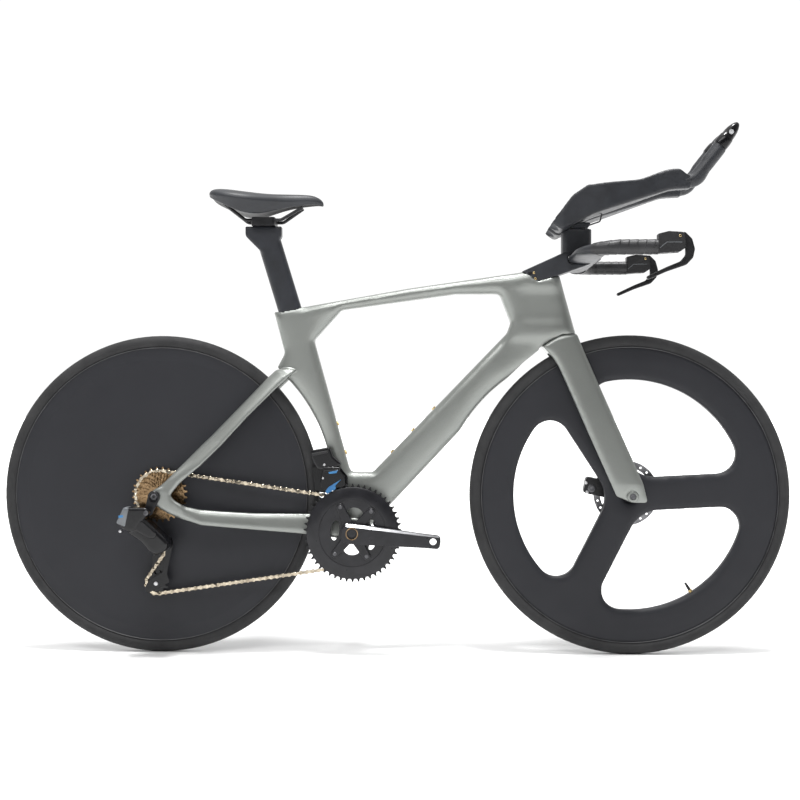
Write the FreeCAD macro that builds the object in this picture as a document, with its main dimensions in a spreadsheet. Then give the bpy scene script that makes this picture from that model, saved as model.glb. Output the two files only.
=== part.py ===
import FreeCAD, Part
import Sketcher
import math
import os
import re

# Time trial bicycle. Millimetres and degrees. X points forward, Y to the rider's left and Z up.
# The origin is on the ground, midway between the axles, in the middle plane.

Vector = FreeCAD.Vector
FULL_TURN = 360
QUARTER_TURN = 90

LAYOUT = {
    "front_center": 590.4808,
    "tyre_radius": 339.0,
    "bottom_bracket_drop": 78.0,
    "chainstay_length": 420.0,
    "head_angle": 74.5,
    "fork_rake": 48.0,
    "running_fit": 0.05,
    "moving_gap": 0.6,
}

FRAME = {
    "frame_rear_width": 36.0,
    "frame_front_width": 57.0,
    "frame_edge_radius": 10.0,
    "seat_top_back": 171.0,
    "seat_top_rise": 467.0,
    "seat_kink_back": 148.0,
    "seat_kink_rise": 379.0,
    "stay_root_back": 164.0,
    "stay_root_rise": 349.0,
    "cutout_to_bracket": 71.0,
    "front_tyre_gap": 21.0,
    "top_tube_bow_share": 0.2170,
    "top_tube_bow_rise": 517.0,
    "head_front": 29.5,
    "head_top": 488.0,
    "crown_height": 368.0,
    "crown_flat_radius": 17.0,
    "crown_cone_drop": 16.0,
    "crown_cone_reach": 36.0,
    "crown_end_drop": 40.0,
    "crown_turn_gap": 3.0,
    "notch_radius": 31.5,
    "notch_top_radius": 47.5,
    "notch_height": 28.5,
    "down_tube_underside_share": 0.4193,
    "down_tube_underside_rise": 214.0,
    "shell_radius": 26.0,
    "shell_width": 86.5,
    "shell_bore": 20.5,
    "shell_drop": 28.0,
    "triangle_corner_radius": 13.0,
    "triangle_top_share": 0.4007,
    "triangle_top_rise": 504.0,
    "triangle_rear_back": 26.0,
    "triangle_rear_rise": 471.0,
    "triangle_waist_back": 85.0,
    "triangle_waist_rise": 406.0,
    "triangle_floor_rise": 125.0,
    "triangle_floor_back": 7.0,
    "triangle_floor_share": 0.0742,
    "triangle_nose_back": 96.5,
    "triangle_nose_height": 419.0,
    "triangle_low_back": 110.0,
    "triangle_low_height": 400.0,
    "triangle_high_back": 103.0,
    "triangle_high_height": 484.0,
}

HEADSET = {
    "steerer_radius": 14.3,
    "upper_bearing_radius": 20.9,
    "lower_bearing_radius": 26.0,
    "bearing_height": 7.0,
    "head_bore_radius": 18.5,
    "race_radius": 20.0,
}

SEAT = {
    "post_angle": 73.0,
    "post_depth": 50.0,
    "post_width": 25.0,
    "post_socket_depth": 170.0,
    "post_insertion": 110.0,
    "post_back": 138.0,
    "post_rise": 474.0,
    "post_gap": 0.3,
    "post_head_back": 94.0,
    "post_head_front": 17.0,
    "post_head_top": 176.0,
    "post_head_side": 20.0,
    "post_head_chin": 44.0,
    "wedge_length": 15.0,
    "wedge_width": 13.0,
    "wedge_height": 32.0,
    "rail_radius": 3.5,
    "rail_spread": 22.0,
    "rail_height": 12.0,
    "rail_center_back": 54.0,
    "rail_half_run": 38.0,
    "rail_front_climb": 28.0,
    "rail_front_slope": 44.0,
    "rail_rear_climb": 36.0,
    "rail_rear_slope": 46.0,
    "rail_bend": 14.0,
    "cradle_length": 50.0,
    "cradle_width": 58.0,
    "clamp_plate_height": 6.0,
    "clamp_part": 0.5,
    "clamp_bolt_radius": 2.5,
    "clamp_bolt_spread": 15.0,
    "clamp_head_radius": 4.5,
    "clamp_head_height": 4.0,
    "saddle_length": 241.0,
    "saddle_width": 132.0,
    "saddle_nose_ahead": 73.0,
    "saddle_base_rise": 35.0,
    "saddle_channel_width": 64.0,
    "saddle_channel_rise": 17.0,
    "saddle_wall": 2.0,
}

STAYS = {
    "axle_radius": 6.0,
    "rear_dropout_inner": 71.0,
    "dropout_thickness": 6.0,
    "dropout_radius": 17.0,
    "chainstay_rear_depth": 28.0,
    "chainstay_front_depth": 42.0,
    "chainstay_thickness": 13.0,
    "chainstay_waist": 28.0,
    "chainstay_sag": 26.0,
    "seatstay_top_depth": 33.0,
    "seatstay_low_depth": 25.0,
    "seatstay_thickness": 12.0,
    "seatstay_sink": 2.0,
    "seatstay_top_back": 143.0,
    "seatstay_top_rise": 346.0,
    "bottle_bolt_radius": 2.5,
    "bottle_head_radius": 4.6,
    "bottle_head_height": 3.2,
    "bottle_bolt_depth": 10.0,
    "seat_bottle_low": 44.0,
    "bottle_pitch": 64.0,
    "down_bottle_low": 61.0,
}

FORK = {
    "front_dropout_inner": 50.0,
    "blade_depth": 62.0,
    "blade_thickness": 15.0,
    "blade_tip_thickness": 8.0,
    "blade_crown_spread": 31.0,
    "blade_top_ahead": 4.0,
    "tip_back": 33.0,
    "tip_drop": 13.0,
    "tip_ahead": 32.0,
    "fork_tyre_gap": 7.0,
    "fork_waist_rise": 254.0,
    "steerer_reach": 36.0,
    "crown_back": 46.0,
    "crown_width": 62.0,
    "crown_thickness": 26.0,
}

WHEELS = {
    "tyre_width": 28.0,
    "rim_radius": 313.0,
    "rim_width": 26.0,
    "rim_edge_width": 21.0,
    "disc_hub_width": 40.0,
    "disc_flat_radius": 70.0,
    "trispoke_hub_width": 36.0,
    "trispoke_hub_radius": 45.0,
    "opening_radius": 245.0,
    "spoke_width": 70.0,
    "opening_corner": 42.0,
    "opening_root_corner": 70.0,
    "spoke_angle": 3.0,
    "valve_angle": -57.5,
    "valve_radius": 3.0,
    "valve_length": 42.0,
    "rear_hub_radius": 17.0,
    "rear_hub_length": 42.0,
    "rear_spindle_radius": 8.5,
    "freehub_radius": 17.0,
    "freehub_start": 23.3,
    "front_hub_radius": 15.0,
    "hub_end_gap": 0.15,
    "rotor_seat_radius": 12.0,
    "rotor_radius": 70.0,
    "rotor_track": 14.0,
    "rotor_thickness": 1.8,
    "rotor_carrier_radius": 24.0,
    "rotor_arm_width": 7.0,
    "rotor_hole_radius": 2.4,
    "rear_rotor_inset": 15.3,
    "front_rotor_inset": 10.5,
    "axle_head_radius": 8.5,
    "axle_head_height": 3.0,
}

DRIVE = {
    "chain_pitch": 12.7,
    "roller_radius": 3.85,
    "tooth_clearance": 0.5,
    "tooth_height": 2.2,
    "tooth_tip": 1.6,
    "big_ring_teeth": 50,
    "small_ring_teeth": 34,
    "pulley_teeth": 11,
    "engaged_cog": 25,
    "cog_pitch": 3.95,
    "cog_thickness": 1.6,
    "largest_cog_offset": 26.0,
    "cog_collar_radius": 20.5,
    "lockring_radius": 19.0,
    "lockring_height": 2.0,
    "big_ring_offset": 47.2,
    "big_ring_thickness": 2.6,
    "small_ring_offset": 40.2,
    "small_ring_thickness": 2.0,
    "big_ring_inner": 76.0,
    "small_ring_inner": 60.0,
    "ring_bolt_circle": 55.0,
    "ring_bolt_radius": 4.0,
    "ring_bolt_head_radius": 5.5,
    "ring_bolt_head_height": 2.0,
    "ring_tab_radius": 8.5,
    "spindle_radius": 12.0,
    "crank_length": 170.0,
    "crank_tilt": 5.4,
    "crank_outer": 73.0,
    "crank_arm_thickness": 14.0,
    "crank_root_radius": 21.0,
    "crank_tip_radius": 13.5,
    "crank_edge_radius": 4.0,
    "spider_arm_width": 15.0,
    "pedal_hole_radius": 7.14,
    "crank_bearing_gap": 0.5,
    "plate_waist": 5.6,
    "cap_radius": 12.0,
    "cap_height": 2.5,
    "bearing_width": 12.0,
    "plate_height": 8.4,
    "plate_thickness": 0.85,
    "chain_inner_width": 2.3,
    "chain_play": 0.1,
    "pin_radius": 1.8,
    "chain_level_pitches": 2.0,
    "guide_pulley_back": 3.0,
    "guide_pulley_drop": 106.0,
    "cage_length": 86.0,
    "cage_tilt": 2.0,
    "pulley_thickness": 2.0,
    "cage_plate_thickness": 1.8,
    "cage_plate_gap": 5.2,
    "cage_plate_radius": 13.0,
}

DERAILLEURS = {
    "hanger_thickness": 6.0,
    "hanger_radius": 12.0,
    "mount_back": 18.0,
    "mount_drop": 33.0,
    "mount_radius": 10.0,
    "mount_thickness": 15.0,
    "mount_arm_back": 42.0,
    "mount_arm_drop": 8.0,
    "motor_depth": 34.0,
    "motor_thickness": 18.0,
    "motor_end_depth": 28.0,
    "motor_overrun": 10.0,
    "pivot_ahead": 14.0,
    "pivot_drop": 4.0,
    "pivot_radius": 5.0,
    "knuckle_radius": 14.0,
    "knuckle_length": 26.0,
    "pulley_bolt_radius": 3.0,
    "cage_foot_back": 28.0,
    "cage_foot_drop": 20.0,
    "cage_front": 20.0,
    "fd_arm_radius": 3.0,
    "fd_cage_clearance": 3.0,
    "fd_cage_depth": 15.0,
    "fd_cage_start": 92.0,
    "fd_cage_end": 130.0,
    "fd_plate_thickness": 1.2,
    "fd_inner_plate": 33.4,
    "fd_outer_plate": 45.4,
    "fd_body_back": 66.0,
    "fd_body_rise": 160.0,
    "fd_body_length": 38.0,
    "fd_body_height": 42.0,
    "fd_body_out": 46.0,
    "fd_pin_depth": 10.0,
    "fd_trim_room": 1.6,
}

BRAKES = {
    "caliper_inner": 13.0,
    "caliper_slot": 6.4,
    "caliper_rotor_gap": 3.0,
    "pad_thickness": 2.0,
    "pad_gap": 0.3,
    "caliper_reach": 92.0,
    "caliper_start": 32.0,
    "caliper_height": 36.0,
    "caliper_corner": 7.0,
    "caliper_seat_gap": 0.3,
}

COCKPIT = {
    "stem_width": 46.0,
    "stem_tail_height": 29.0,
    "stem_front": 124.0,
    "stem_front_low": 7.0,
    "stem_front_height": 24.0,
    "stem_top_ahead": 47.0,
    "stem_top_height": 43.5,
    "stem_corner": 8.0,
    "stem_screw_radius": 3.5,
    "stem_screw_back": 30.0,
    "stem_screw_low": 8.0,
    "stem_screw_pitch": 12.4,
    "stem_screw_length": 12.0,
    "wing_ahead": 86.0,
    "wing_height": 507.3,
    "wing_chord": 64.0,
    "wing_thickness": 20.0,
    "bar_half_width": 200.0,
    "bar_bend": 50.0,
    "grip_reach": 124.0,
    "grip_height": 27.0,
    "grip_width": 24.0,
    "grip_lift": 3.5,
    "riser_length": 62.0,
    "riser_width": 44.0,
    "riser_corner": 10.0,
    "riser_back": 13.0,
    "riser_top": 64.0,
    "bridge_thickness": 7.0,
    "bridge_width": 140.0,
    "bridge_length": 44.0,
    "riser_bolt_radius": 3.0,
    "riser_bolt_spread": 12.0,
    "riser_bolt_side": 36.0,
    "riser_bolt_length": 12.0,
    "riser_bolt_head_radius": 5.0,
    "riser_bolt_head_height": 3.5,
    "arm_spread": 52.0,
    "trough_radius": 38.0,
    "trough_slope": 36.0,
    "trough_back": 57.0,
    "trough_rise": 31.0,
    "trough_length": 200.0,
    "pad_length": 92.0,
    "pad_start": 20.0,
    "pad_edge": 4.0,
    "pad_crown": 7.0,
    "pad_angle": 140.0,
    "pad_fit": 0.1,
    "extension_radius": 13.5,
    "shifter_tip_radius": 11.0,
    "shifter_edge": 4.0,
    "shifter_length": 38.0,
    "button_radius": 5.0,
    "button_height": 2.0,
    "button_depth": 4.0,
    "button_travel": 1.5,
    "button_place": 16.0,
    "lever_pod_width": 24.0,
    "lever_pod_web": 28.0,
    "lever_thickness": 11.0,
    "lever_pivot_ahead": 47.0,
    "lever_pivot_rise": 21.5,
    "lever_pin_radius": 2.5,
    "wire_radius": 1.5,
    "wire_bend": 6.0,
    "wire_side": 30.0,
}

SIZES = {}
for group in (LAYOUT, FRAME, HEADSET, SEAT, STAYS, FORK, WHEELS, DRIVE, DERAILLEURS, BRAKES, COCKPIT):
    SIZES.update(group)

doc = FreeCAD.newDocument("TimeTrialBike")
sheet = doc.addObject("Spreadsheet::Sheet", "Sizes")
for row, (alias, value) in enumerate(SIZES.items(), start=1):
    sheet.set("A%d" % row, alias)
    sheet.set("B%d" % row, str(value))
    sheet.setAlias("B%d" % row, alias)
doc.recompute()


class SheetReader:
    """Gives each size of the sheet by its alias."""

    def __getattr__(self, alias):
        return float(sheet.get(alias))


S = SheetReader()
PIECES = []


# Helpers

SIDE_FACE_SHARE = 0.9
SECTION_ROUND = 0.45


def bound(expression):
    """The expression with every alias addressed in the sheet."""
    return re.sub(r"[a-z][a-z_0-9]*", lambda match: "Sizes." + match.group(), expression)


def value(expression):
    return float(sheet.evalExpression(expression))


def keep(piece, label):
    """Names a finished piece."""
    piece.Label = label
    PIECES.append(piece)
    return piece


def keep_shape(label, *shapes):
    """A finished piece made of one solid or of a group of solids."""
    piece = doc.addObject("Part::Feature", label)
    piece.Shape = shapes[0] if len(shapes) == 1 else Part.makeCompound(list(shapes))
    return keep(piece, label)


def polar(radius, degrees, y=0.0):
    """A point at a radius and an angle in the side plane, from forward towards up."""
    angle = math.radians(degrees)
    return Vector(radius * math.cos(angle), y, radius * math.sin(angle))


def rod(start, end, radius):
    return Part.makeCylinder(radius, (end - start).Length, start, end - start)


def disc(center, radius, y_low, y_high):
    """A round solid across the bike."""
    base = Vector(center.x, y_low, center.z)
    return Part.makeCylinder(radius, y_high - y_low, base, Vector(0, 1, 0))


def ring(center, outer, inner, y_low, y_high):
    return disc(center, outer, y_low, y_high).cut(disc(center, inner, y_low, y_high))


def rounded_wire(corners):
    """A closed flat wire of straight runs whose corners are (point, radius)."""
    runs = []
    arcs = []
    count = len(corners)
    for index, (corner, radius) in enumerate(corners):
        before = (corners[index - 1][0] - corner).normalize()
        after = (corners[(index + 1) % count][0] - corner).normalize()
        if radius <= 0:
            runs.append((corner, corner))
            arcs.append(None)
            continue
        half = before.getAngle(after) / 2
        reach = radius / math.tan(half)
        bisector = (before + after).normalize()
        middle = corner + bisector * (radius / math.sin(half) - radius)
        start = corner + before * reach
        end = corner + after * reach
        runs.append((start, end))
        arcs.append(Part.Arc(start, middle, end).toShape())
    edges = []
    for index in range(count):
        if arcs[index]:
            edges.append(arcs[index])
        edges.append(Part.makeLine(runs[index][1], runs[(index + 1) % count][0]))
    return Part.Wire(edges)


def slab(corners, y_low, y_high):
    """A plate across the bike from a side outline."""
    moved = [(Vector(point.x, y_low, point.z), radius) for point, radius in corners]
    return Part.Face(rounded_wire(moved)).extrude(Vector(0, y_high - y_low, 0))


def upright(corners, direction):
    """A prism from any flat outline."""
    return Part.Face(rounded_wire(corners)).extrude(direction)


def soften(solid, radius, chosen):
    """The solid with a radius on the edges that the test chooses."""
    edges = [edge for edge in solid.Edges if chosen(edge)]
    return solid.makeFillet(radius, edges)


def side_face_edges(solid):
    """Tells the edges where a face that looks sideways meets one that doesn't."""
    counts = {}
    for face in solid.Faces:
        u_low, u_high, v_low, v_high = face.ParameterRange
        normal = face.normalAt((u_low + u_high) / 2, (v_low + v_high) / 2)
        if abs(normal.y) > SIDE_FACE_SHARE:
            for edge in face.Edges:
                counts[edge.hashCode()] = counts.get(edge.hashCode(), 0) + 1
    return lambda edge: counts.get(edge.hashCode(), 0) == 1


def section(center, along, depth, thickness):
    """A rounded rectangle square to a bar: depth in the side plane, thickness sideways."""
    along = Vector(along).normalize()
    across = Vector(0, 1, 0)
    across = (across - along * across.dot(along)).normalize()
    tall = along.cross(across)
    corner = min(depth, thickness) * SECTION_ROUND
    outline = []
    for tall_sign, across_sign in ((1, 1), (1, -1), (-1, -1), (-1, 1)):
        point = center + tall * (tall_sign * depth / 2) + across * (across_sign * thickness / 2)
        outline.append((point, corner))
    return rounded_wire(outline)


def bar(stations):
    """A solid bar through (center, depth, thickness) stations."""
    wires = []
    for index, (center, depth, thickness) in enumerate(stations):
        before = stations[max(index - 1, 0)][0]
        after = stations[min(index + 1, len(stations) - 1)][0]
        wires.append(section(center, after - before, depth, thickness))
    return Part.makeLoft(wires, True, False)


def origin_plane(body, role):
    return [feature for feature in body.Origin.OriginFeatures if feature.Role == role][0]


def profile_sketch(body, role, points, name):
    """A closed sketch whose corners are pairs of expressions of the sheet."""
    sketch = body.newObject("Sketcher::SketchObject", name)
    sketch.AttachmentSupport = [(origin_plane(body, role), "")]
    sketch.MapMode = "FlatFace"
    corners = [Vector(value(x), value(y), 0) for x, y in points]
    count = len(corners)
    for index in range(count):
        sketch.addGeometry(Part.LineSegment(corners[index], corners[(index + 1) % count]))
    for index in range(count):
        sketch.addConstraint(Sketcher.Constraint("Coincident", index, 2, (index + 1) % count, 1))
    for index, pair in enumerate(points):
        for kind, expression in zip(("DistanceX", "DistanceY"), pair):
            datum = value(expression)
            number = sketch.addConstraint(Sketcher.Constraint(kind, -1, 1, index, 1, datum))
            sketch.setExpression("Constraints[%d]" % number, bound(expression))
    return sketch


def turned_body(name, points, center):
    """A body turned about a line across the bike from (radius, side) expressions."""
    body = doc.addObject("PartDesign::Body", name)
    sketch = profile_sketch(body, "XY_Plane", points, name + "_profile")
    turn = body.newObject("PartDesign::Revolution", name + "_turn")
    turn.Profile = sketch
    turn.ReferenceAxis = (sketch, ["V_Axis"])
    turn.Angle = FULL_TURN
    body.Placement = FreeCAD.Placement(center, FreeCAD.Rotation())
    return body


def pin_object(name, radius, length, center):
    """A round bar across the bike, centred on a point, with bound sizes."""
    pin = doc.addObject("Part::Cylinder", name)
    pin.setExpression("Radius", bound(radius))
    pin.setExpression("Height", bound(length))
    turn = FreeCAD.Rotation(Vector(1, 0, 0), -QUARTER_TURN)
    base = Vector(center.x, center.y - value(length) / 2, center.z)
    pin.Placement = FreeCAD.Placement(base, turn)
    return pin


def cut_objects(name, base, tool):
    cut = doc.addObject("Part::Cut", name)
    cut.Base = base
    cut.Tool = tool
    return cut


def fuse_objects(name, shapes):
    fuse = doc.addObject("Part::MultiFuse", name)
    fuse.Shapes = shapes
    return fuse


def ring_object(name, outer, inner, length, center):
    """A bush or bearing ring across the bike."""
    solid = pin_object(name + "_outside", outer, length, center)
    bore = pin_object(name + "_bore", inner, length, center)
    return cut_objects(name, solid, bore)


def fused(shapes):
    return shapes[0].multiFuse(shapes[1:]).removeSplitter()


# Datum points and directions

SIDEWAYS = Vector(0, 1, 0)
BRACKET_AHEAD = math.sqrt(S.chainstay_length ** 2 - S.bottom_bracket_drop ** 2)
FRONT_AHEAD = math.sqrt(S.front_center ** 2 - S.bottom_bracket_drop ** 2)
WHEELBASE = BRACKET_AHEAD + FRONT_AHEAD
REAR_AXLE = Vector(-WHEELBASE / 2, 0, S.tyre_radius)
FRONT_AXLE = Vector(WHEELBASE / 2, 0, S.tyre_radius)
BRACKET = REAR_AXLE + Vector(BRACKET_AHEAD, 0, -S.bottom_bracket_drop)
HEAD = math.radians(S.head_angle)
STEER_UP = Vector(-math.cos(HEAD), 0, math.sin(HEAD))
STEER_AHEAD = Vector(math.sin(HEAD), 0, math.cos(HEAD))
STEER_FOOT = FRONT_AXLE - STEER_AHEAD * S.fork_rake
POST = math.radians(S.post_angle)
POST_UP = Vector(-math.cos(POST), 0, math.sin(POST))
POST_AHEAD = Vector(math.sin(POST), 0, math.cos(POST))
POST_ENTRY = BRACKET + Vector(-S.post_back, 0, S.post_rise)
POST_ROUND = 0.9
SEAT_TUBE_BOLTS = 2
DOWN_TUBE_BOLTS = 3


def steer(ahead, height, y=0.0):
    """A point by its distance ahead of the steering axis and its height along it."""
    return STEER_FOOT + STEER_AHEAD * ahead + STEER_UP * height + SIDEWAYS * y


def from_bracket(ahead, rise):
    return BRACKET + Vector(ahead, 0, rise)


def along_reach(share, rise):
    """A point by its share of the way from the bracket to the foot of the steering axis."""
    return BRACKET + Vector(share * (STEER_FOOT.x - BRACKET.x), 0, rise)


def arc_corner(center, radius, start, end):
    """The corner where the tangents of a round stretch meet, and its radius."""
    middle = (start + end) / 2
    half = abs(end - start) / 2
    return center + polar(radius / math.cos(math.radians(half)), middle), radius


def angle_to(center, point):
    """The angle of a point seen from a center, in the side plane."""
    return math.degrees(math.atan2(point.z - center.z, point.x - center.x))


# Frame


def steering_turn(outline):
    """A solid turned about the steering axis from (radius, height) points."""
    points = [steer(radius, height) for radius, height in outline]
    face = Part.Face(Part.makePolygon(points + points[:1]))
    return face.revolve(STEER_FOOT, STEER_UP, FULL_TURN)


def crown_space(lift):
    """The space that the turning fork crown sweeps under the head tube."""
    flat = S.crown_height + lift
    slope = S.crown_cone_drop / S.crown_cone_reach
    far = math.hypot(S.crown_back, S.crown_width / 2) + S.crown_turn_gap
    low = flat - (far - S.crown_flat_radius) * slope
    floor = low - S.crown_height * slope
    return steering_turn([(0, floor), (0, flat), (S.crown_flat_radius, flat), (far, low), (far, floor)])


def stem_space(inset):
    """The bowl over the head tube in which the stem tail turns."""
    low = S.head_top + inset
    high = S.head_top + S.notch_height
    top = high + S.notch_height * 3
    rise = (S.notch_top_radius - S.notch_radius) / S.notch_height
    reach = S.notch_top_radius - inset
    outline = [(0, low), (S.notch_radius - inset + inset * rise, low), (reach, high), (reach, top), (0, top)]
    return steering_turn(outline)


def head_shelf(half):
    """The room over the front of the head tube, for the nose of the stem."""
    far = 2 * S.head_top
    outline = [steer(0, S.head_top), steer(far, S.head_top), steer(far, far), steer(0, far)]
    return slab([(point, 0) for point in outline], -half, half)


def frame_outline():
    cutout = S.chainstay_length - S.cutout_to_bracket
    underside = S.tyre_radius + S.front_tyre_gap
    low_start = angle_to(REAR_AXLE, from_bracket(-S.shell_radius, 0))
    low_end = angle_to(REAR_AXLE, from_bracket(-S.stay_root_back, S.stay_root_rise))
    bend = along_reach(S.down_tube_underside_share, S.down_tube_underside_rise)
    crown_low = S.crown_height - S.crown_end_drop
    crown_end = steer(-S.crown_flat_radius - S.crown_cone_reach, crown_low)
    tyre_arc = arc_corner(FRONT_AXLE, underside, angle_to(FRONT_AXLE, crown_end), angle_to(FRONT_AXLE, bend))
    notch_end = S.head_top + S.notch_height
    small = S.frame_edge_radius / 2
    return [
        (from_bracket(-S.seat_top_back, S.seat_top_rise), 0),
        (from_bracket(-S.seat_kink_back, S.seat_kink_rise), small * 3),
        (from_bracket(-S.stay_root_back, S.stay_root_rise), 0),
        arc_corner(REAR_AXLE, cutout, low_start, low_end),
        (from_bracket(-S.shell_radius * 2, -small), 0),
        (from_bracket(-S.shell_radius, -S.shell_drop), 0),
        (from_bracket(0, -S.shell_drop), 0),
        (bend, S.tyre_radius / 4),
        tyre_arc,
        (crown_end, 0),
        (steer(S.head_front, crown_low), 0),
        (steer(S.head_front, notch_end), 0),
        (steer(-S.notch_top_radius, notch_end), 0),
        (along_reach(S.top_tube_bow_share, S.top_tube_bow_rise), WHEELBASE),
    ]


def triangle_outline():
    radius = S.triangle_corner_radius
    return [
        (from_bracket(-S.triangle_rear_back, S.triangle_rear_rise), radius),
        (from_bracket(-S.triangle_waist_back, S.triangle_waist_rise), radius),
        (from_bracket(-S.triangle_floor_back, S.triangle_floor_rise), radius),
        (along_reach(S.triangle_floor_share, S.triangle_floor_rise), radius),
        (steer(-S.triangle_low_back, S.triangle_low_height), radius),
        (steer(-S.triangle_nose_back, S.triangle_nose_height), radius),
        (steer(-S.triangle_high_back, S.triangle_high_height), radius),
        (along_reach(S.triangle_top_share, S.triangle_top_rise), radius),
    ]


def frame_width_prism():
    """The frame seen from above: it widens evenly from the seat tube to the head tube."""
    seat = from_bracket(-S.seat_top_back, 0).x
    head = steer(0, S.crown_height).x
    slope = (S.frame_front_width - S.frame_rear_width) / 2 / (head - seat)
    back_half = S.frame_rear_width / 2 - slope * (seat - REAR_AXLE.x)
    front_half = S.frame_front_width / 2 + slope * (FRONT_AXLE.x - head)
    outline = [
        (Vector(REAR_AXLE.x, back_half, 0), 0),
        (Vector(FRONT_AXLE.x, front_half, 0), 0),
        (Vector(FRONT_AXLE.x, -front_half, 0), 0),
        (Vector(REAR_AXLE.x, -back_half, 0), 0),
    ]
    return upright(outline, Vector(0, 0, WHEELBASE * 2))


def post_outline(grow, height):
    """The seat post section at a height along the post, grown by a gap."""
    half_depth = S.post_depth / 2 + grow
    half_width = S.post_width / 2 + grow
    center = POST_ENTRY + POST_UP * height
    outline = []
    for depth_sign, width_sign in ((1, 1), (1, -1), (-1, -1), (-1, 1)):
        point = center + POST_AHEAD * (depth_sign * half_depth) + SIDEWAYS * (width_sign * half_width)
        outline.append((point, half_width * POST_ROUND))
    return outline


def wedge_prism(grow, low, high):
    """The seat wedge that fills the notch ahead of the post."""
    start = S.post_depth / 2 + S.post_gap
    half_width = S.wedge_width / 2 + grow
    base = POST_ENTRY + POST_UP * low
    outline = []
    for ahead, side in ((start, 1), (start + S.wedge_length + grow, 1),
                        (start + S.wedge_length + grow, -1), (start, -1)):
        outline.append((base + POST_AHEAD * ahead + SIDEWAYS * (side * half_width), 0))
    return upright(outline, POST_UP * (high - low))


def bottle_bolt_sites():
    """Bolt seats on the seat tube and the down tube, each with its outward direction."""
    sites = []
    seat_low = from_bracket(-S.triangle_floor_back, S.triangle_floor_rise)
    seat_high = from_bracket(-S.triangle_waist_back, S.triangle_waist_rise)
    seat_run = (seat_high - seat_low).normalize()
    seat_out = Vector(seat_run.z, 0, -seat_run.x)
    for step in range(SEAT_TUBE_BOLTS):
        sites.append((seat_low + seat_run * (S.seat_bottle_low + S.bottle_pitch * step), seat_out))
    down_low = along_reach(S.triangle_floor_share, S.triangle_floor_rise)
    down_high = steer(-S.triangle_low_back, S.triangle_low_height)
    down_run = (down_high - down_low).normalize()
    down_out = Vector(-down_run.z, 0, down_run.x)
    for step in range(DOWN_TUBE_BOLTS):
        sites.append((down_low + down_run * (S.down_bottle_low + S.bottle_pitch * step), down_out))
    return sites


def make_main_frame():
    half = S.frame_front_width
    solid = slab(frame_outline(), -half, half).cut(slab(triangle_outline(), -half, half))
    solid = solid.common(frame_width_prism()).removeSplitter()
    solid = soften(solid, S.frame_edge_radius, side_face_edges(solid))
    shell = disc(BRACKET, S.shell_radius, -S.shell_width / 2, S.shell_width / 2)
    solid = solid.fuse(shell)
    solid = solid.cut(disc(BRACKET, S.shell_bore, -S.shell_width, S.shell_width))
    solid = solid.cut(crown_space(0)).cut(stem_space(0)).cut(head_shelf(half))
    below = steer(0, S.crown_height - S.bearing_height)
    above = steer(0, S.head_top + S.bearing_height)
    solid = solid.cut(rod(below, above, S.head_bore_radius))
    solid = solid.cut(rod(below, steer(0, S.crown_height + S.bearing_height), S.lower_bearing_radius))
    solid = solid.cut(rod(steer(0, S.head_top - S.bearing_height), above, S.upper_bearing_radius))
    socket = upright(post_outline(S.post_gap, -S.post_socket_depth), POST_UP * (S.post_socket_depth * 2))
    solid = solid.cut(socket)
    solid = solid.cut(wedge_prism(S.post_gap, -S.wedge_height - S.post_gap, S.wedge_height))
    for seat, outward in bottle_bolt_sites():
        solid = solid.cut(rod(seat - outward * S.bottle_bolt_depth, seat + outward, S.bottle_bolt_radius))
    return keep_shape("main_frame", solid.removeSplitter())


def make_bottle_bolts():
    bolts = []
    for seat, outward in bottle_bolt_sites():
        shank = rod(seat - outward * S.bottle_bolt_depth, seat, S.bottle_bolt_radius)
        head = rod(seat, seat + outward * S.bottle_head_height, S.bottle_head_radius)
        bolts.append(shank.fuse(head).removeSplitter())
    return keep_shape("bottle_bolts", *bolts)


main_frame = make_main_frame()
bottle_bolts = make_bottle_bolts()


# Stays, headset and bottom bracket


def smooth(share):
    """An even ease from 0 to 1."""
    share = min(max(share, 0.0), 1.0)
    return share * share * (3 - 2 * share)


STAY_STATIONS = 7
STAY_LEVEL_SHARE = 0.8
STAY_SAG_POWER = 0.6
STAY_START = 0.3
SEAT_STAY_SHARES = (0.2, 0.5, 0.8)


def make_chain_stay(side, label):
    """A stay that droops from the dropout and draws in beside the tyre."""
    stations = []
    out = S.rear_dropout_inner + S.dropout_thickness / 2
    for index in range(STAY_STATIONS):
        share = (index + STAY_START) / (STAY_STATIONS - 1 + STAY_START)
        level = min(share / STAY_LEVEL_SHARE, 1.0)
        center = REAR_AXLE + (BRACKET - REAR_AXLE) * share
        center.z -= S.chainstay_sag * math.sin(math.pi * level ** STAY_SAG_POWER)
        center.y = side * (S.chainstay_waist + (out - S.chainstay_waist) * (1 - smooth(level)))
        depth = S.chainstay_rear_depth + (S.chainstay_front_depth - S.chainstay_rear_depth) * share
        stations.append((center, depth, S.chainstay_thickness))
    inner = side * S.rear_dropout_inner
    outer = side * (S.rear_dropout_inner + S.dropout_thickness)
    dropout = disc(REAR_AXLE, S.dropout_radius, min(inner, outer), max(inner, outer))
    solid = bar(stations).cut(disc(REAR_AXLE, S.dropout_radius + S.dropout_thickness, -S.rear_dropout_inner,
                                   S.rear_dropout_inner))
    outside = disc(REAR_AXLE, S.dropout_radius * 2, min(outer, 2 * outer), max(outer, 2 * outer))
    solid = solid.fuse(dropout).cut(outside)
    solid = solid.cut(disc(REAR_AXLE, S.axle_radius + S.running_fit, -2 * S.rear_dropout_inner,
                           2 * S.rear_dropout_inner))
    solid = solid.cut(main_frame.Shape).cut(disc(BRACKET, S.shell_bore, -S.shell_width, S.shell_width))
    return keep_shape(label, largest(solid))


def largest(shape):
    """The main solid of a cut shape."""
    return max(shape.Solids, key=lambda solid: solid.Volume)


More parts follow.
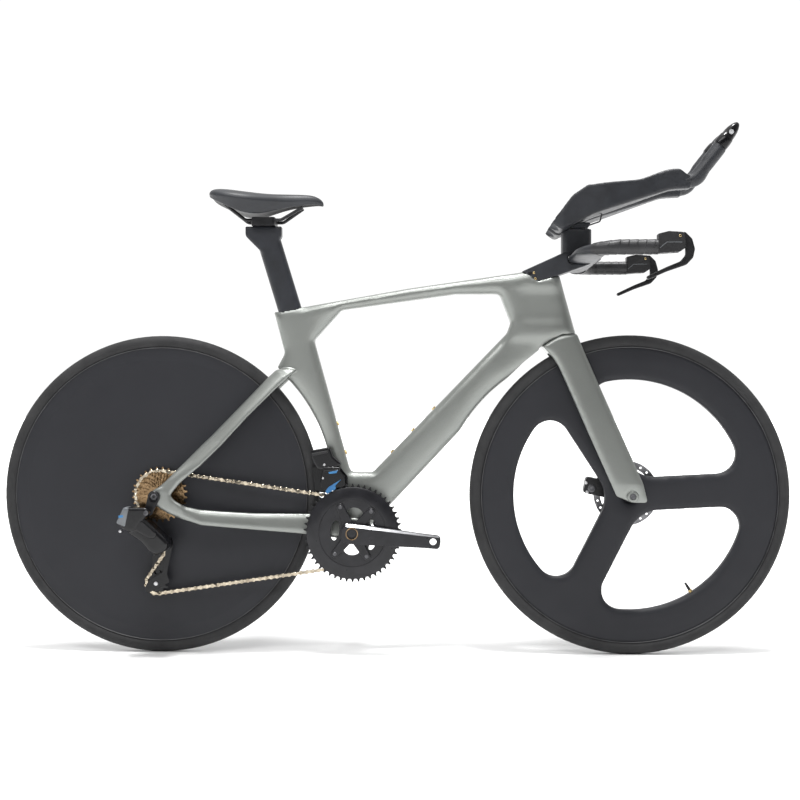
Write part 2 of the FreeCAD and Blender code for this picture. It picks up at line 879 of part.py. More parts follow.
def make_seat_stay(side, label, chain_stay):
    """A straight stay from the dropout to the flank of the seat tube."""
    low = REAR_AXLE + SIDEWAYS * (side * (S.rear_dropout_inner + S.dropout_thickness / 2))
    high = from_bracket(-S.seatstay_top_back, S.seatstay_top_rise)
    high.y = side * (S.frame_rear_width / 2 + S.seatstay_thickness / 2 - S.seatstay_sink)
    end = high + (high - low) * (S.seatstay_top_depth / (high - low).Length)
    end.y = high.y
    stations = [(low, S.seatstay_low_depth, S.dropout_thickness)]
    for share in SEAT_STAY_SHARES:
        depth = S.seatstay_low_depth + (S.seatstay_top_depth - S.seatstay_low_depth) * share
        stations.append((low + (high - low) * share, depth, S.seatstay_thickness))
    stations.append((high, S.seatstay_top_depth, S.seatstay_thickness))
    stations.append((end, S.seatstay_top_depth, S.seatstay_thickness))
    solid = bar(stations)
    lid_corner = high + Vector(-WHEELBASE / 2, -WHEELBASE / 2, 0)
    lid = Part.makeBox(WHEELBASE, WHEELBASE, WHEELBASE, lid_corner)
    solid = solid.cut(lid).cut(chain_stay.Shape).cut(main_frame.Shape)
    solid = solid.cut(disc(REAR_AXLE, S.dropout_radius, -2 * S.rear_dropout_inner, 2 * S.rear_dropout_inner))
    room = S.dropout_radius + 2 * S.dropout_thickness
    solid = solid.cut(disc(REAR_AXLE, room, -S.rear_dropout_inner, S.rear_dropout_inner))
    return keep_shape(label, largest(solid))


def make_headset():
    """Two bearing rings between the head tube and the steerer."""
    def bearing(low, outer, inner):
        start = steer(0, low)
        end = steer(0, low + S.bearing_height)
        return rod(start, end, outer - S.running_fit).cut(rod(start, end, inner + S.running_fit))
    upper = bearing(S.head_top - S.bearing_height, S.upper_bearing_radius, S.steerer_radius)
    lower = bearing(S.crown_height, S.lower_bearing_radius, S.race_radius)
    keep_shape("headset_bearings", upper, lower)


def make_bracket_bearings():
    """Two press-in bearings that carry the crank spindle."""
    rings = []
    for side in (-1, 1):
        center = BRACKET + SIDEWAYS * (side * (S.shell_width - S.bearing_width) / 2)
        name = "bracket_bearing_%s" % ("right" if side < 0 else "left")
        rings.append(ring_object(name, "shell_bore - running_fit", "spindle_radius + running_fit",
                                 "bearing_width", center))
    pair = doc.addObject("Part::Compound", "bracket_bearings")
    pair.Links = rings
    keep(pair, "bottom_bracket_bearings")


def axle_piece(label, center, inner, thickness):
    """A through axle with a head outside the far dropout."""
    rod_piece = pin_object(label + "_rod", "axle_radius", "2 * (%s + %s)" % (inner, thickness), center)
    head_side = value(inner) + value(thickness) + S.axle_head_height / 2
    head = pin_object(label + "_head", "axle_head_radius", "axle_head_height", center + SIDEWAYS * head_side)
    keep(fuse_objects(label, [rod_piece, head]), label)


chain_stay_right = make_chain_stay(-1, "chain_stay_right")
chain_stay_left = make_chain_stay(1, "chain_stay_left")
make_seat_stay(-1, "seat_stay_right", chain_stay_right)
make_seat_stay(1, "seat_stay_left", chain_stay_left)
make_headset()
make_bracket_bearings()
axle_piece("rear_axle", REAR_AXLE, "rear_dropout_inner", "dropout_thickness")
axle_piece("front_axle", FRONT_AXLE, "front_dropout_inner", "blade_tip_thickness")


# Fork


def fork_outline():
    """The fork seen from the side, from the crown to the blade tips."""
    tip = FRONT_AXLE
    shoulder = steer(S.blade_top_ahead, S.crown_height - S.crown_thickness * 2)
    run = (shoulder - tip).normalize()
    half = Vector(run.z, 0, -run.x) * (S.blade_depth / 2)
    corner = S.blade_tip_thickness
    crown_top = S.crown_height + S.crown_cone_drop
    return [
        (steer(-S.crown_back, crown_top), 0),
        (steer(-S.crown_back, S.crown_height - S.crown_cone_drop - corner), 0),
        (shoulder - half, S.blade_depth),
        (tip + Vector(-S.tip_back, 0, 0), corner),
        (tip + Vector(0, 0, -S.tip_drop), corner),
        (tip + Vector(S.tip_ahead, 0, -S.tip_drop), corner / 2),
        (tip + half + run * S.tip_drop, 0),
        (shoulder + half, S.blade_depth),
        (steer(S.head_front, S.crown_height), 0),
        (steer(S.head_front, crown_top), 0),
    ]


def fork_front_prism(rows, low, high):
    """A prism along the bike from (half width, height) rows, mirrored about the middle plane."""
    left = [(Vector(low, half, height), 0) for half, height in rows]
    right = [(Vector(low, -half, height), 0) for half, height in reversed(rows)]
    return upright(left + right, Vector(high - low, 0, 0))


def make_fork():
    back = FRONT_AXLE.x - S.tyre_radius
    front = FRONT_AXLE.x + S.tyre_radius
    crown = steer(0, S.crown_height)
    waist = FRONT_AXLE.z + S.fork_waist_rise
    low = FRONT_AXLE.z - S.blade_depth
    tip_out = S.front_dropout_inner + S.blade_tip_thickness
    outer_rows = [
        (tip_out, low),
        (tip_out, FRONT_AXLE.z + 2 * S.tip_drop),
        (S.blade_crown_spread + S.blade_thickness / 2, waist),
        (S.crown_width / 2, crown.z),
        (S.crown_width / 2, crown.z + S.blade_depth),
    ]
    inner_rows = [
        (S.front_dropout_inner, low),
        (S.front_dropout_inner, FRONT_AXLE.z + 2 * S.tip_drop),
        (S.blade_crown_spread - S.blade_thickness / 2, waist),
        (S.blade_crown_spread - S.blade_thickness / 2, crown.z),
    ]
    solid = slab(fork_outline(), -2 * tip_out, 2 * tip_out)
    solid = solid.common(fork_front_prism(outer_rows, back, front)).removeSplitter()
    wheel_room = disc(FRONT_AXLE, S.tyre_radius + S.fork_tyre_gap, -2 * tip_out, 2 * tip_out)
    solid = solid.cut(fork_front_prism(inner_rows, back, front).common(wheel_room))
    lid = steering_turn([
        (0, S.crown_height - S.moving_gap),
        (S.crown_flat_radius, S.crown_height - S.moving_gap),
        (S.crown_flat_radius + 2 * S.crown_cone_reach, S.crown_height - 2 * S.crown_cone_drop - S.moving_gap),
        (S.crown_flat_radius + 2 * S.crown_cone_reach, S.crown_height + S.crown_thickness),
        (0, S.crown_height + S.crown_thickness),
    ])
    solid = solid.cut(lid)
    steerer_top = S.head_top + S.steerer_reach
    steerer = rod(steer(0, S.crown_height - S.moving_gap), steer(0, steerer_top), S.steerer_radius)
    race_top = S.crown_height + S.bearing_height
    race = rod(steer(0, S.crown_height - S.moving_gap), steer(0, race_top), S.race_radius)
    solid = solid.fuse(steerer).fuse(race)
    solid = solid.cut(disc(FRONT_AXLE, S.axle_radius + S.running_fit, -2 * tip_out, 2 * tip_out))
    return keep_shape("fork", largest(solid.removeSplitter()))


fork = make_fork()


# Seat


def from_entry(ahead, rise, y=0.0):
    """A point by its distance from the post's entry into the frame."""
    return POST_ENTRY + Vector(ahead, y, rise)


RAIL_CENTER = from_entry(-S.rail_center_back, S.post_head_top + S.rail_height)


def make_seat_post():
    shaft = upright(post_outline(0, -S.post_insertion), POST_UP * (S.post_insertion + S.post_head_top))
    half = S.post_width / 2
    neck = S.post_head_top - S.post_head_side - S.post_head_chin
    outline = [
        (from_entry(-S.post_head_back, S.post_head_top), 0),
        (from_entry(-S.post_head_back, S.post_head_top - S.post_head_side), S.rail_bend),
        (from_entry(-S.post_head_back + S.post_head_chin, neck), 0),
        (from_entry(-S.post_head_front - S.post_head_side, neck), 0),
        (from_entry(-S.post_head_front, S.post_head_top - S.post_head_side), 0),
        (from_entry(-S.post_head_front, S.post_head_top), 0),
    ]
    head = slab(outline, -half, half)
    top = from_entry(-WHEELBASE / 2, S.post_head_top, -WHEELBASE / 2)
    solid = shaft.fuse(head).cut(Part.makeBox(WHEELBASE, WHEELBASE, WHEELBASE, top))
    for bolt in clamp_bolt_sites():
        solid = solid.cut(rod(bolt - Vector(0, 0, S.post_head_side), bolt, S.clamp_bolt_radius))
    return keep_shape("seat_post", largest(solid.removeSplitter()))


def clamp_bolt_sites():
    """Where the two clamp bolts enter the top of the post."""
    base = from_entry(-S.rail_center_back, S.post_head_top)
    return [base + Vector(side * S.clamp_bolt_spread, 0, 0) for side in (-1, 1)]


def clamp_half(low, high):
    """Half of the rail clamp: a block with a groove for each rail."""
    corner = RAIL_CENTER + Vector(-S.cradle_length / 2, -S.cradle_width / 2, 0)
    corner.z = low
    block = Part.makeBox(S.cradle_length, S.cradle_width, high - low, corner)
    for side in (-1, 1):
        start = RAIL_CENTER + Vector(-S.cradle_length, side * S.rail_spread, 0)
        end = start + Vector(2 * S.cradle_length, 0, 0)
        block = block.cut(rod(start, end, S.rail_radius + S.running_fit))
    for bolt in clamp_bolt_sites():
        start = Vector(bolt.x, bolt.y, low - S.clamp_plate_height)
        end = Vector(bolt.x, bolt.y, high + S.clamp_plate_height)
        block = block.cut(rod(start, end, S.clamp_bolt_radius + S.running_fit))
    upright_edges = []
    for edge in block.Edges:
        full = abs(edge.BoundBox.ZLength - (high - low)) < S.running_fit
        if full and isinstance(edge.Curve, Part.Line):
            upright_edges.append(edge)
    return block.makeFillet(S.clamp_plate_height, upright_edges)


def make_rail_clamp():
    """The cradle under the rails, the plate over them, and the two bolts."""
    base = RAIL_CENTER.z - S.rail_height
    cradle = clamp_half(base, RAIL_CENTER.z - S.clamp_part)
    plate_top = RAIL_CENTER.z + S.clamp_plate_height
    plate = clamp_half(RAIL_CENTER.z + S.clamp_part, plate_top)
    bolts = []
    for bolt in clamp_bolt_sites():
        low = bolt - Vector(0, 0, S.post_head_side)
        seat = Vector(bolt.x, bolt.y, plate_top)
        head = rod(seat, seat + Vector(0, 0, S.clamp_head_height), S.clamp_head_radius)
        bolts.append(rod(low, seat, S.clamp_bolt_radius).fuse(head).removeSplitter())
    keep_shape("rail_clamp", cradle, plate, *bolts)


def pipe(corners, radius, bend):
    """A round bar along straight runs joined by tangent arcs."""
    edges = []
    start = corners[0]
    for index in range(1, len(corners) - 1):
        corner = corners[index]
        before = (corners[index - 1] - corner).normalize()
        after = (corners[index + 1] - corner).normalize()
        half = before.getAngle(after) / 2
        reach = bend / math.tan(half)
        middle = corner + (before + after).normalize() * (bend / math.sin(half) - bend)
        edges.append(Part.makeLine(start, corner + before * reach))
        start = corner + after * reach
        edges.append(Part.Arc(corner + before * reach, middle, start).toShape())
    edges.append(Part.makeLine(start, corners[-1]))
    path = Part.Wire(edges)
    tangent = corners[1] - corners[0]
    circle = Part.Wire(Part.makeCircle(radius, corners[0], tangent))
    return path.makePipeShell([circle], True, False)


def make_saddle_rails():
    """Two rails that run level through the clamp and climb to the shell at both ends."""
    rails = []
    for side in (-1, 1):
        spread = side * S.rail_spread
        corners = [
            RAIL_CENTER + Vector(-S.rail_half_run - S.rail_rear_slope, spread, S.rail_rear_climb),
            RAIL_CENTER + Vector(-S.rail_half_run, spread, 0),
            RAIL_CENTER + Vector(S.rail_half_run, spread, 0),
            RAIL_CENTER + Vector(S.rail_half_run + S.rail_front_slope, spread / 2, S.rail_front_climb),
        ]
        rails.append(pipe(corners, S.rail_radius, S.rail_bend))
    keep_shape("saddle_rails", *rails)


# Saddle stations from tail to nose: share of the length, share of the half width, height of the top
# and of the lower edge over the saddle's base.
SADDLE_STATIONS = (
    (0.0, 0.62, 29.0, 12.0),
    (0.08, 0.88, 33.0, 4.0),
    (0.26, 1.0, 28.0, -14.0),
    (0.46, 0.76, 23.0, -24.0),
    (0.6, 0.44, 22.0, -16.0),
    (0.8, 0.29, 21.0, -7.0),
    (0.95, 0.24, 17.0, -7.0),
    (1.0, 0.14, 9.0, -4.0),
)
SADDLE_SPLIT = 0.42
SADDLE_TUCK = 0.8
SADDLE_CROWN = 0.35


def saddle_section(x, half, top, low, base):
    """A closed section: flat below, sides that draw in, and a crowned top."""
    shoulder = base + low + (top - low) * (1 - SADDLE_CROWN)
    corners = [
        Vector(x, -half * SADDLE_TUCK, base + low),
        Vector(x, half * SADDLE_TUCK, base + low),
        Vector(x, half, shoulder),
        Vector(x, -half, shoulder),
    ]
    waist = (base + low + shoulder) / 2
    sides = []
    for side in (1, -1):
        foot = Vector(x, side * half * SADDLE_TUCK, base + low)
        bulge = Vector(x, side * half * (3 + SADDLE_TUCK) / 4, waist)
        edge = Vector(x, side * half, shoulder)
        sides.append(Part.Arc(foot, bulge, edge).toShape())
    crown = Part.Arc(corners[2], Vector(x, 0, base + top), corners[3]).toShape()
    return Part.Wire([Part.makeLine(corners[0], corners[1]), sides[0], crown, sides[1]])


def saddle_loft(grow, low_of, top_of):
    nose = POST_ENTRY.x + S.saddle_nose_ahead
    base = RAIL_CENTER.z + S.saddle_base_rise
    wires = []
    for share, width, top, low in SADDLE_STATIONS:
        x = nose - S.saddle_length * (1 - share)
        half = S.saddle_width / 2 * width - grow
        wires.append(saddle_section(x, half, top_of(top, low), low_of(top, low), base))
    return Part.makeLoft(wires, True, False)


def make_saddle():
    """The padded cover over the stiff shell, which has a channel over the clamp bolts."""
    def split(top, low):
        return low + (top - low) * SADDLE_SPLIT
    cover = saddle_loft(0, split, lambda top, low: top)
    shell = saddle_loft(S.saddle_wall, lambda top, low: low, split)
    keep_shape("saddle_cover", cover.cut(shell))
    half = S.saddle_channel_width / 2
    corner = Vector(RAIL_CENTER.x - S.saddle_length / 2, -half, RAIL_CENTER.z)
    shell = shell.cut(Part.makeBox(S.saddle_length, 2 * half, S.saddle_channel_rise, corner))
    for rail in [piece for piece in PIECES if piece.Label == "saddle_rails"]:
        shell = shell.cut(rail.Shape)
    keep_shape("saddle_shell", largest(shell))


def make_seat_wedge():
    low = -S.wedge_height
    wedge = wedge_prism(0, low, -S.post_gap)
    wedge.translate(POST_AHEAD * (S.post_gap / 2))
    keep_shape("seat_wedge", wedge)


make_seat_post()
make_rail_clamp()
make_saddle_rails()
make_saddle()
make_seat_wedge()


# Wheels

SPOKES = 3
ROTOR_ARMS = 6
ROTOR_HOLES = 24


def make_tyre(label, center):
    """A round tyre seated on the rim."""
    torus = doc.addObject("Part::Torus", label + "_round")
    torus.setExpression("Radius1", bound("tyre_radius - tyre_width / 2"))
    torus.setExpression("Radius2", bound("tyre_width / 2"))
    torus.Placement = FreeCAD.Placement(center, FreeCAD.Rotation(Vector(1, 0, 0), QUARTER_TURN))
    seat = pin_object(label + "_seat", "rim_radius + running_fit", "tyre_width * 2", center)
    keep(cut_objects(label, torus, seat), label)


def wheel_profile(bore, hub_half, hub_radius):
    """A flat-sided wheel in section: bore, hub flat, skin, and rim edge."""
    half = [
        (bore, hub_half),
        (hub_radius, hub_half),
        ("rim_radius - rim_width", "rim_width / 2"),
        ("rim_radius", "rim_edge_width / 2"),
    ]
    return half + [(radius, "-(%s)" % side) for radius, side in reversed(half)]


def make_rear_wheel():
    profile = wheel_profile("rear_hub_radius + running_fit", "disc_hub_width / 2", "disc_flat_radius")
    keep(turned_body("rear_disc", profile, REAR_AXLE), "rear_disc")
    make_tyre("rear_tyre", REAR_AXLE)
    bore = "axle_radius + running_fit"
    profile = [
        (bore, "-(rear_dropout_inner - hub_end_gap)"),
        ("rear_spindle_radius", "-(rear_dropout_inner - hub_end_gap)"),
        ("rear_spindle_radius", "-(freehub_start - hub_end_gap)"),
        ("rear_hub_radius", "-(freehub_start - hub_end_gap)"),
        ("rear_hub_radius", "rear_hub_length / 2"),
        ("rotor_seat_radius", "rear_hub_length / 2"),
        ("rotor_seat_radius", "rear_dropout_inner - hub_end_gap"),
        (bore, "rear_dropout_inner - hub_end_gap"),
    ]
    keep(turned_body("rear_hub", profile, REAR_AXLE), "rear_hub")


def make_front_wheel():
    """A wheel with three broad spokes between three rounded openings."""
    profile = wheel_profile("front_hub_radius + running_fit", "trispoke_hub_width / 2", "trispoke_hub_radius")
    blank = turned_body("trispoke_blank", profile, FRONT_AXLE)
    round_tool = pin_object("opening_round", "opening_radius", "rim_width * 3", FRONT_AXLE)
    spokes = []
    for index in range(SPOKES):
        spoke = doc.addObject("Part::Box", "spoke_%d" % (index + 1))
        spoke.setExpression("Length", bound("opening_radius * 2"))
        spoke.setExpression("Width", bound("rim_width * 4"))
        spoke.setExpression("Height", bound("spoke_width"))
        turn = FreeCAD.Rotation(SIDEWAYS, -S.spoke_angle - index * FULL_TURN / SPOKES)
        corner = turn.multVec(Vector(0, -S.rim_width * 2, -S.spoke_width / 2))
        spoke.Placement = FreeCAD.Placement(FRONT_AXLE + corner, turn)
        spokes.append(spoke)
    doc.recompute()
    openings = cut_objects("openings", round_tool, fuse_objects("spokes", spokes))
    doc.recompute()
    rounded = doc.addObject("Part::Fillet", "rounded_openings")
    rounded.Base = openings
    rounded.Edges = opening_corners(openings.Shape)
    wheel = cut_objects("front_wheel", blank, rounded)
    keep(wheel, "front_wheel")
    make_tyre("front_tyre", FRONT_AXLE)
    profile = [
        ("axle_radius + running_fit", "-(front_dropout_inner - hub_end_gap)"),
        ("rotor_seat_radius", "-(front_dropout_inner - hub_end_gap)"),
        ("rotor_seat_radius", "-(trispoke_hub_width / 2)"),
        ("front_hub_radius", "-(trispoke_hub_width / 2)"),
        ("front_hub_radius", "trispoke_hub_width / 2"),
        ("rotor_seat_radius", "trispoke_hub_width / 2"),
        ("rotor_seat_radius", "front_dropout_inner - hub_end_gap"),
        ("axle_radius + running_fit", "front_dropout_inner - hub_end_gap"),
    ]
    keep(turned_body("front_hub", profile, FRONT_AXLE), "front_hub")


def opening_corners(shape):
    """The upright edges of the openings with their radii, larger near the rim."""
    chosen = []
    for number, edge in enumerate(shape.Edges, start=1):
        if abs(abs(edge.tangentAt(edge.FirstParameter).y) - 1) > S.running_fit:
            continue
        reach = edge.CenterOfMass - FRONT_AXLE
        radius = S.opening_corner if reach.Length > S.opening_radius / 2 else S.opening_root_corner
        chosen.append((number, radius, radius))
    return chosen


def make_valve():
    """The valve stem that stands out of the front rim."""
    root = FRONT_AXLE + polar(S.opening_radius, S.valve_angle)
    end = FRONT_AXLE + polar(S.opening_radius - S.valve_length, S.valve_angle)
    stem = rod(root, end, S.valve_radius)
    for wheel in [piece for piece in PIECES if piece.Label == "front_wheel"]:
        doc.recompute()
        stem = stem.cut(wheel.Shape)
    keep_shape("front_valve", largest(stem))


def make_rotor(label, center, plane):
    """A brake disc: a drilled track on slanted arms round a carrier."""
    low = plane - S.rotor_thickness / 2
    high = plane + S.rotor_thickness / 2
    track_inner = S.rotor_radius - S.rotor_track
    track = ring(center, S.rotor_radius, track_inner, low, high)
    for index in range(ROTOR_HOLES):
        hole = center + polar(S.rotor_radius - S.rotor_track / 2, index * FULL_TURN / ROTOR_HOLES)
        track = track.cut(disc(hole, S.rotor_hole_radius, low, high))
    pieces = [track, disc(center, S.rotor_carrier_radius, low, high)]
    for index in range(ROTOR_ARMS):
        angle = index * FULL_TURN / ROTOR_ARMS
        inner = center + polar(S.rotor_carrier_radius - S.rotor_arm_width, angle)
        outer = center + polar(track_inner + S.rotor_thickness, angle + FULL_TURN / ROTOR_ARMS / 2)
        across = (outer - inner).cross(SIDEWAYS).normalize() * (S.rotor_arm_width / 2)
        arm = [(inner + across, 0), (outer + across, 0), (outer - across, 0), (inner - across, 0)]
        pieces.append(slab(arm, low, high))
    solid = fused(pieces).cut(disc(center, S.rotor_seat_radius + S.running_fit, low, high))
    keep_shape(label, solid)


make_rear_wheel()
make_front_wheel()
make_valve()
make_rotor("rear_rotor", REAR_AXLE, S.rear_dropout_inner - S.rear_rotor_inset)
make_rotor("front_rotor", FRONT_AXLE, S.front_dropout_inner - S.front_rotor_inset)


# Chain line


def pitch_radius(teeth):
    return S.chain_pitch / (2 * math.sin(math.pi / teeth))


CASSETTE_TEETH = (28, 25, 23, 21, 19, 17, 15, 14, 13, 12, 11)
COG_INDEX = CASSETTE_TEETH.index(int(S.engaged_cog))
COG_PLANE = -(S.largest_cog_offset + COG_INDEX * S.cog_pitch)
RING_PLANE = -S.small_ring_offset
GUIDE = REAR_AXLE + Vector(-S.guide_pulley_back, 0, -S.guide_pulley_drop)
CLOCKWISE = -1
COUNTER = 1
HALVINGS = 60


def tension_center(length):
    return GUIDE + polar(length, -QUARTER_TURN - S.cage_tilt)


def quarter_turn(direction):
    """The direction turned a quarter to its right in the side plane."""
    return Vector(direction.z, 0, -direction.x)


def chain_route(cage_length):
    """The wheels that the chain runs on, each with its arc, and the runs between them, in pitches."""
    tension = tension_center(cage_length)
    wheels = [
        (BRACKET, int(S.small_ring_teeth), CLOCKWISE, RING_PLANE),
        (tension, int(S.pulley_teeth), CLOCKWISE, COG_PLANE),
        (GUIDE, int(S.pulley_teeth), COUNTER, COG_PLANE),
        (REAR_AXLE, int(S.engaged_cog), CLOCKWISE, COG_PLANE),
    ]
    runs = []
    for index, (center, teeth, turn, plane) in enumerate(wheels):
        other, other_teeth, other_turn, other_plane = wheels[(index + 1) % len(wheels)]
        offset = other_turn * pitch_radius(other_teeth) - turn * pitch_radius(teeth)
        gap = other - center
        length = math.sqrt(gap.x ** 2 + gap.z ** 2 - offset ** 2)
        heading = math.atan2(gap.z, gap.x) - math.atan2(offset, length)
        along = Vector(math.cos(heading), 0, math.sin(heading))
        start = center + quarter_turn(along) * (turn * pitch_radius(teeth))
        start.y = plane
        end = other + quarter_turn(along) * (other_turn * pitch_radius(other_teeth))
        end.y = other_plane
        runs.append((start, end))
    route = []
    for index, (center, teeth, turn, plane) in enumerate(wheels):
        arrive = runs[index - 1][1]
        leave = runs[index][0]
        first = angle_to(center, arrive)
        sweep = (turn * (angle_to(center, leave) - first)) % FULL_TURN
        route.append(("arc", sweep * teeth / FULL_TURN, (center, teeth, turn, plane, first)))
        start, end = runs[index]
        route.append(("run", (end - start).Length / S.chain_pitch, (start, end)))
    return route


def route_length(cage_length):
    return sum(count for kind, count, data in chain_route(cage_length))


def fitted_cage_length():
    """The cage length near the driving one at which the chain closes in whole pairs of links."""
    links = 2 * round(route_length(S.cage_length) / 2)
    low = S.cage_length - S.chain_pitch
    high = S.cage_length + S.chain_pitch
    for step in range(HALVINGS):
        middle = (low + high) / 2
        if route_length(middle) < links:
            low = middle
        else:
            high = middle
    return (low + high) / 2, links


CAGE_LENGTH, LINK_COUNT = fitted_cage_length()
TENSION = tension_center(CAGE_LENGTH)
ROUTE = chain_route(CAGE_LENGTH)


def route_point(position):
    """The point at a number of pitches along the chain, and the stretch that holds it."""
    for stretch, (kind, count, data) in enumerate(ROUTE):
        if position <= count or stretch == len(ROUTE) - 1:
            break
        position -= count
    if kind == "run":
        start, end = data
        point = start + (end - start) * (position / count)
        level = min(S.chain_level_pitches, count / 3)
        share = min(max((position - level) / (count - 2 * level), 0), 1)
        point.y = start.y + (end.y - start.y) * share
        return point, stretch
    center, teeth, turn, plane, first = data
    return center + polar(pitch_radius(teeth), first + turn * position * FULL_TURN / teeth, plane), stretch


def tooth_phase(stretch):
    """The angle of one roller on the wheel of a stretch."""
    before = sum(count for kind, count, data in ROUTE[:stretch])
    kind, count, (center, teeth, turn, plane, first) = ROUTE[stretch]
    return first + turn * (math.ceil(before) - before) * FULL_TURN / teeth


def sprocket_face(center, teeth, phase, plane):
    """A toothed outline with a round seat for each roller."""
    seat = S.roller_radius + S.tooth_clearance
    half_gap = S.chain_pitch / 2 - S.tooth_tip / 2
    edges = []
    last = None
    first = None
    for index in range(teeth):
        angle = phase + index * FULL_TURN / teeth
        middle = center + polar(pitch_radius(teeth), angle, plane)
        out = polar(1, angle)
        across = polar(1, angle + QUARTER_TURN)
        tip_in = middle - across * half_gap + out * S.tooth_height
        tip_out = middle + across * half_gap + out * S.tooth_height
        if last:
            edges.append(Part.makeLine(last, tip_in))
        else:
            first = tip_in
        edges.append(Part.makeLine(tip_in, middle - across * seat))
        edges.append(Part.Arc(middle - across * seat, middle - out * seat, middle + across * seat).toShape())
        edges.append(Part.makeLine(middle + across * seat, tip_out))
        last = tip_out
    edges.append(Part.makeLine(last, first))
    return Part.Face(Part.Wire(edges))


def sprocket(center, teeth, phase, plane, thickness, bore):
    face = sprocket_face(center, teeth, phase, plane - thickness / 2)
    solid = face.extrude(SIDEWAYS * thickness)
    return solid.cut(disc(center, bore, plane - thickness, plane + thickness))


RING_STRETCH = 0
TENSION_STRETCH = 2
GUIDE_STRETCH = 4
COG_STRETCH = 6


# Crankset and cassette

SPIDER_ARMS = 4
SPIDER_START = 22.0


def bolt_angles():
    return [SPIDER_START + index * FULL_TURN / SPIDER_ARMS for index in range(SPIDER_ARMS)]


def with_tabs(solid, plane, thickness, inner):
    """A chainring with a drilled tab at each chainring bolt."""
    low = plane - thickness / 2
    high = plane + thickness / 2
    solid = solid.cut(disc(BRACKET, inner, low, high))
    for angle in bolt_angles():
        bolt = BRACKET + polar(S.ring_bolt_circle, angle)
        root = BRACKET + polar(inner + S.ring_tab_radius / 2, angle)
        across = polar(S.ring_tab_radius, angle + QUARTER_TURN)
        corners = [(bolt + across, 0), (root + across, 0), (root - across, 0), (bolt - across, 0)]
        tab = slab(corners, low, high)
        solid = solid.fuse(tab).fuse(disc(bolt, S.ring_tab_radius, low, high))
    for angle in bolt_angles():
        bolt = BRACKET + polar(S.ring_bolt_circle, angle)
        solid = solid.cut(disc(bolt, S.ring_bolt_radius + S.running_fit, low, high))
    return solid.removeSplitter()


def make_chainrings():
    big = sprocket(BRACKET, int(S.big_ring_teeth), 0, -S.big_ring_offset, S.big_ring_thickness,
                   S.spindle_radius)
    keep_shape("chainring_outer", with_tabs(big, -S.big_ring_offset, S.big_ring_thickness, S.big_ring_inner))
    small = sprocket(BRACKET, int(S.small_ring_teeth), tooth_phase(RING_STRETCH), RING_PLANE,
                     S.small_ring_thickness, S.spindle_radius)
    keep_shape("chainring_inner", with_tabs(small, RING_PLANE, S.small_ring_thickness, S.small_ring_inner))


def crank_direction(side):
    return polar(1, -S.crank_tilt) if side < 0 else polar(1, FULL_TURN / 2 - S.crank_tilt)


def pedal_center(side):
    return BRACKET + crank_direction(side) * S.crank_length


def crank_arm_solid(side):
    """A tapered arm from the spindle boss to the pedal thread."""
    outer = S.crank_outer
    inner = outer - S.crank_arm_thickness
    low, high = (-outer, -inner) if side < 0 else (inner, outer)
    along = crank_direction(side)
    across = quarter_turn(along)
    pedal = pedal_center(side)
    root = S.crank_root_radius
    tip = S.crank_tip_radius
    flank = [
        (BRACKET + across * root, 0),
        (pedal + across * tip, 0),
        (pedal - across * tip, 0),
        (BRACKET - across * root, 0),
    ]
    solid = fused([slab(flank, low, high), disc(BRACKET, root, low, high), disc(pedal, tip, low, high)])
    flat_edges = [edge for edge in solid.Edges if edge.BoundBox.YLength < S.running_fit]
    outer_edges = [edge for edge in flat_edges if abs(abs(edge.CenterOfMass.y) - outer) < S.running_fit]
    solid = solid.makeFillet(S.crank_edge_radius, outer_edges)
    return solid.cut(disc(pedal, S.pedal_hole_radius, -2 * outer, 2 * outer))


def make_cranks():
    shell_end = S.shell_width / 2
    inner = S.crank_outer - S.crank_arm_thickness
    spider_low = -(S.big_ring_offset - S.big_ring_thickness / 2)
    spider_high = -(S.small_ring_offset + S.small_ring_thickness / 2)
    right = [crank_arm_solid(-1)]
    right.append(disc(BRACKET, S.crank_root_radius, -inner, -(shell_end + S.crank_bearing_gap)))
    for angle in bolt_angles():
        bolt = BRACKET + polar(S.ring_bolt_circle, angle)
        across = polar(S.spider_arm_width / 2, angle + QUARTER_TURN)
        arm = [(BRACKET + across, 0), (bolt + across, 0), (bolt - across, 0), (BRACKET - across, 0)]
        right.append(slab(arm, -inner, spider_low))
        right.append(disc(bolt, S.ring_tab_radius, spider_low, spider_high))
        right.append(disc(bolt, S.spider_arm_width / 2, -inner, spider_low))
    solid = fused(right)
    bearing_face = -shell_end - S.crank_bearing_gap
    solid = solid.cut(disc(BRACKET, S.crank_root_radius + S.crank_bearing_gap, bearing_face, 0))
    bolt_low = -(S.big_ring_offset + S.big_ring_thickness / 2)
    for angle in bolt_angles():
        bolt = BRACKET + polar(S.ring_bolt_circle, angle)
        solid = solid.cut(disc(bolt, S.ring_bolt_radius + S.running_fit, bolt_low, spider_high))
    rings = Part.makeCompound([piece.Shape for piece in PIECES if piece.Label.startswith("chainring")])
    spindle_end = S.crank_outer - S.cap_height
    spindle = disc(BRACKET, S.spindle_radius, -spindle_end, spindle_end)
    bore = disc(BRACKET, S.spindle_radius + S.running_fit, -2 * inner, 2 * inner)
    keep_shape("crank_arm_right", largest(solid.cut(rings)).cut(bore), spindle)
    boss = disc(BRACKET, S.crank_root_radius, shell_end + S.crank_bearing_gap, inner)
    keep_shape("crank_arm_left", fused([crank_arm_solid(1), boss]).cut(bore))
    cap_place = BRACKET + SIDEWAYS * (S.crank_outer - S.cap_height / 2)
    keep(pin_object("crank_cap", "cap_radius - running_fit", "cap_height", cap_place), "crank_cap")


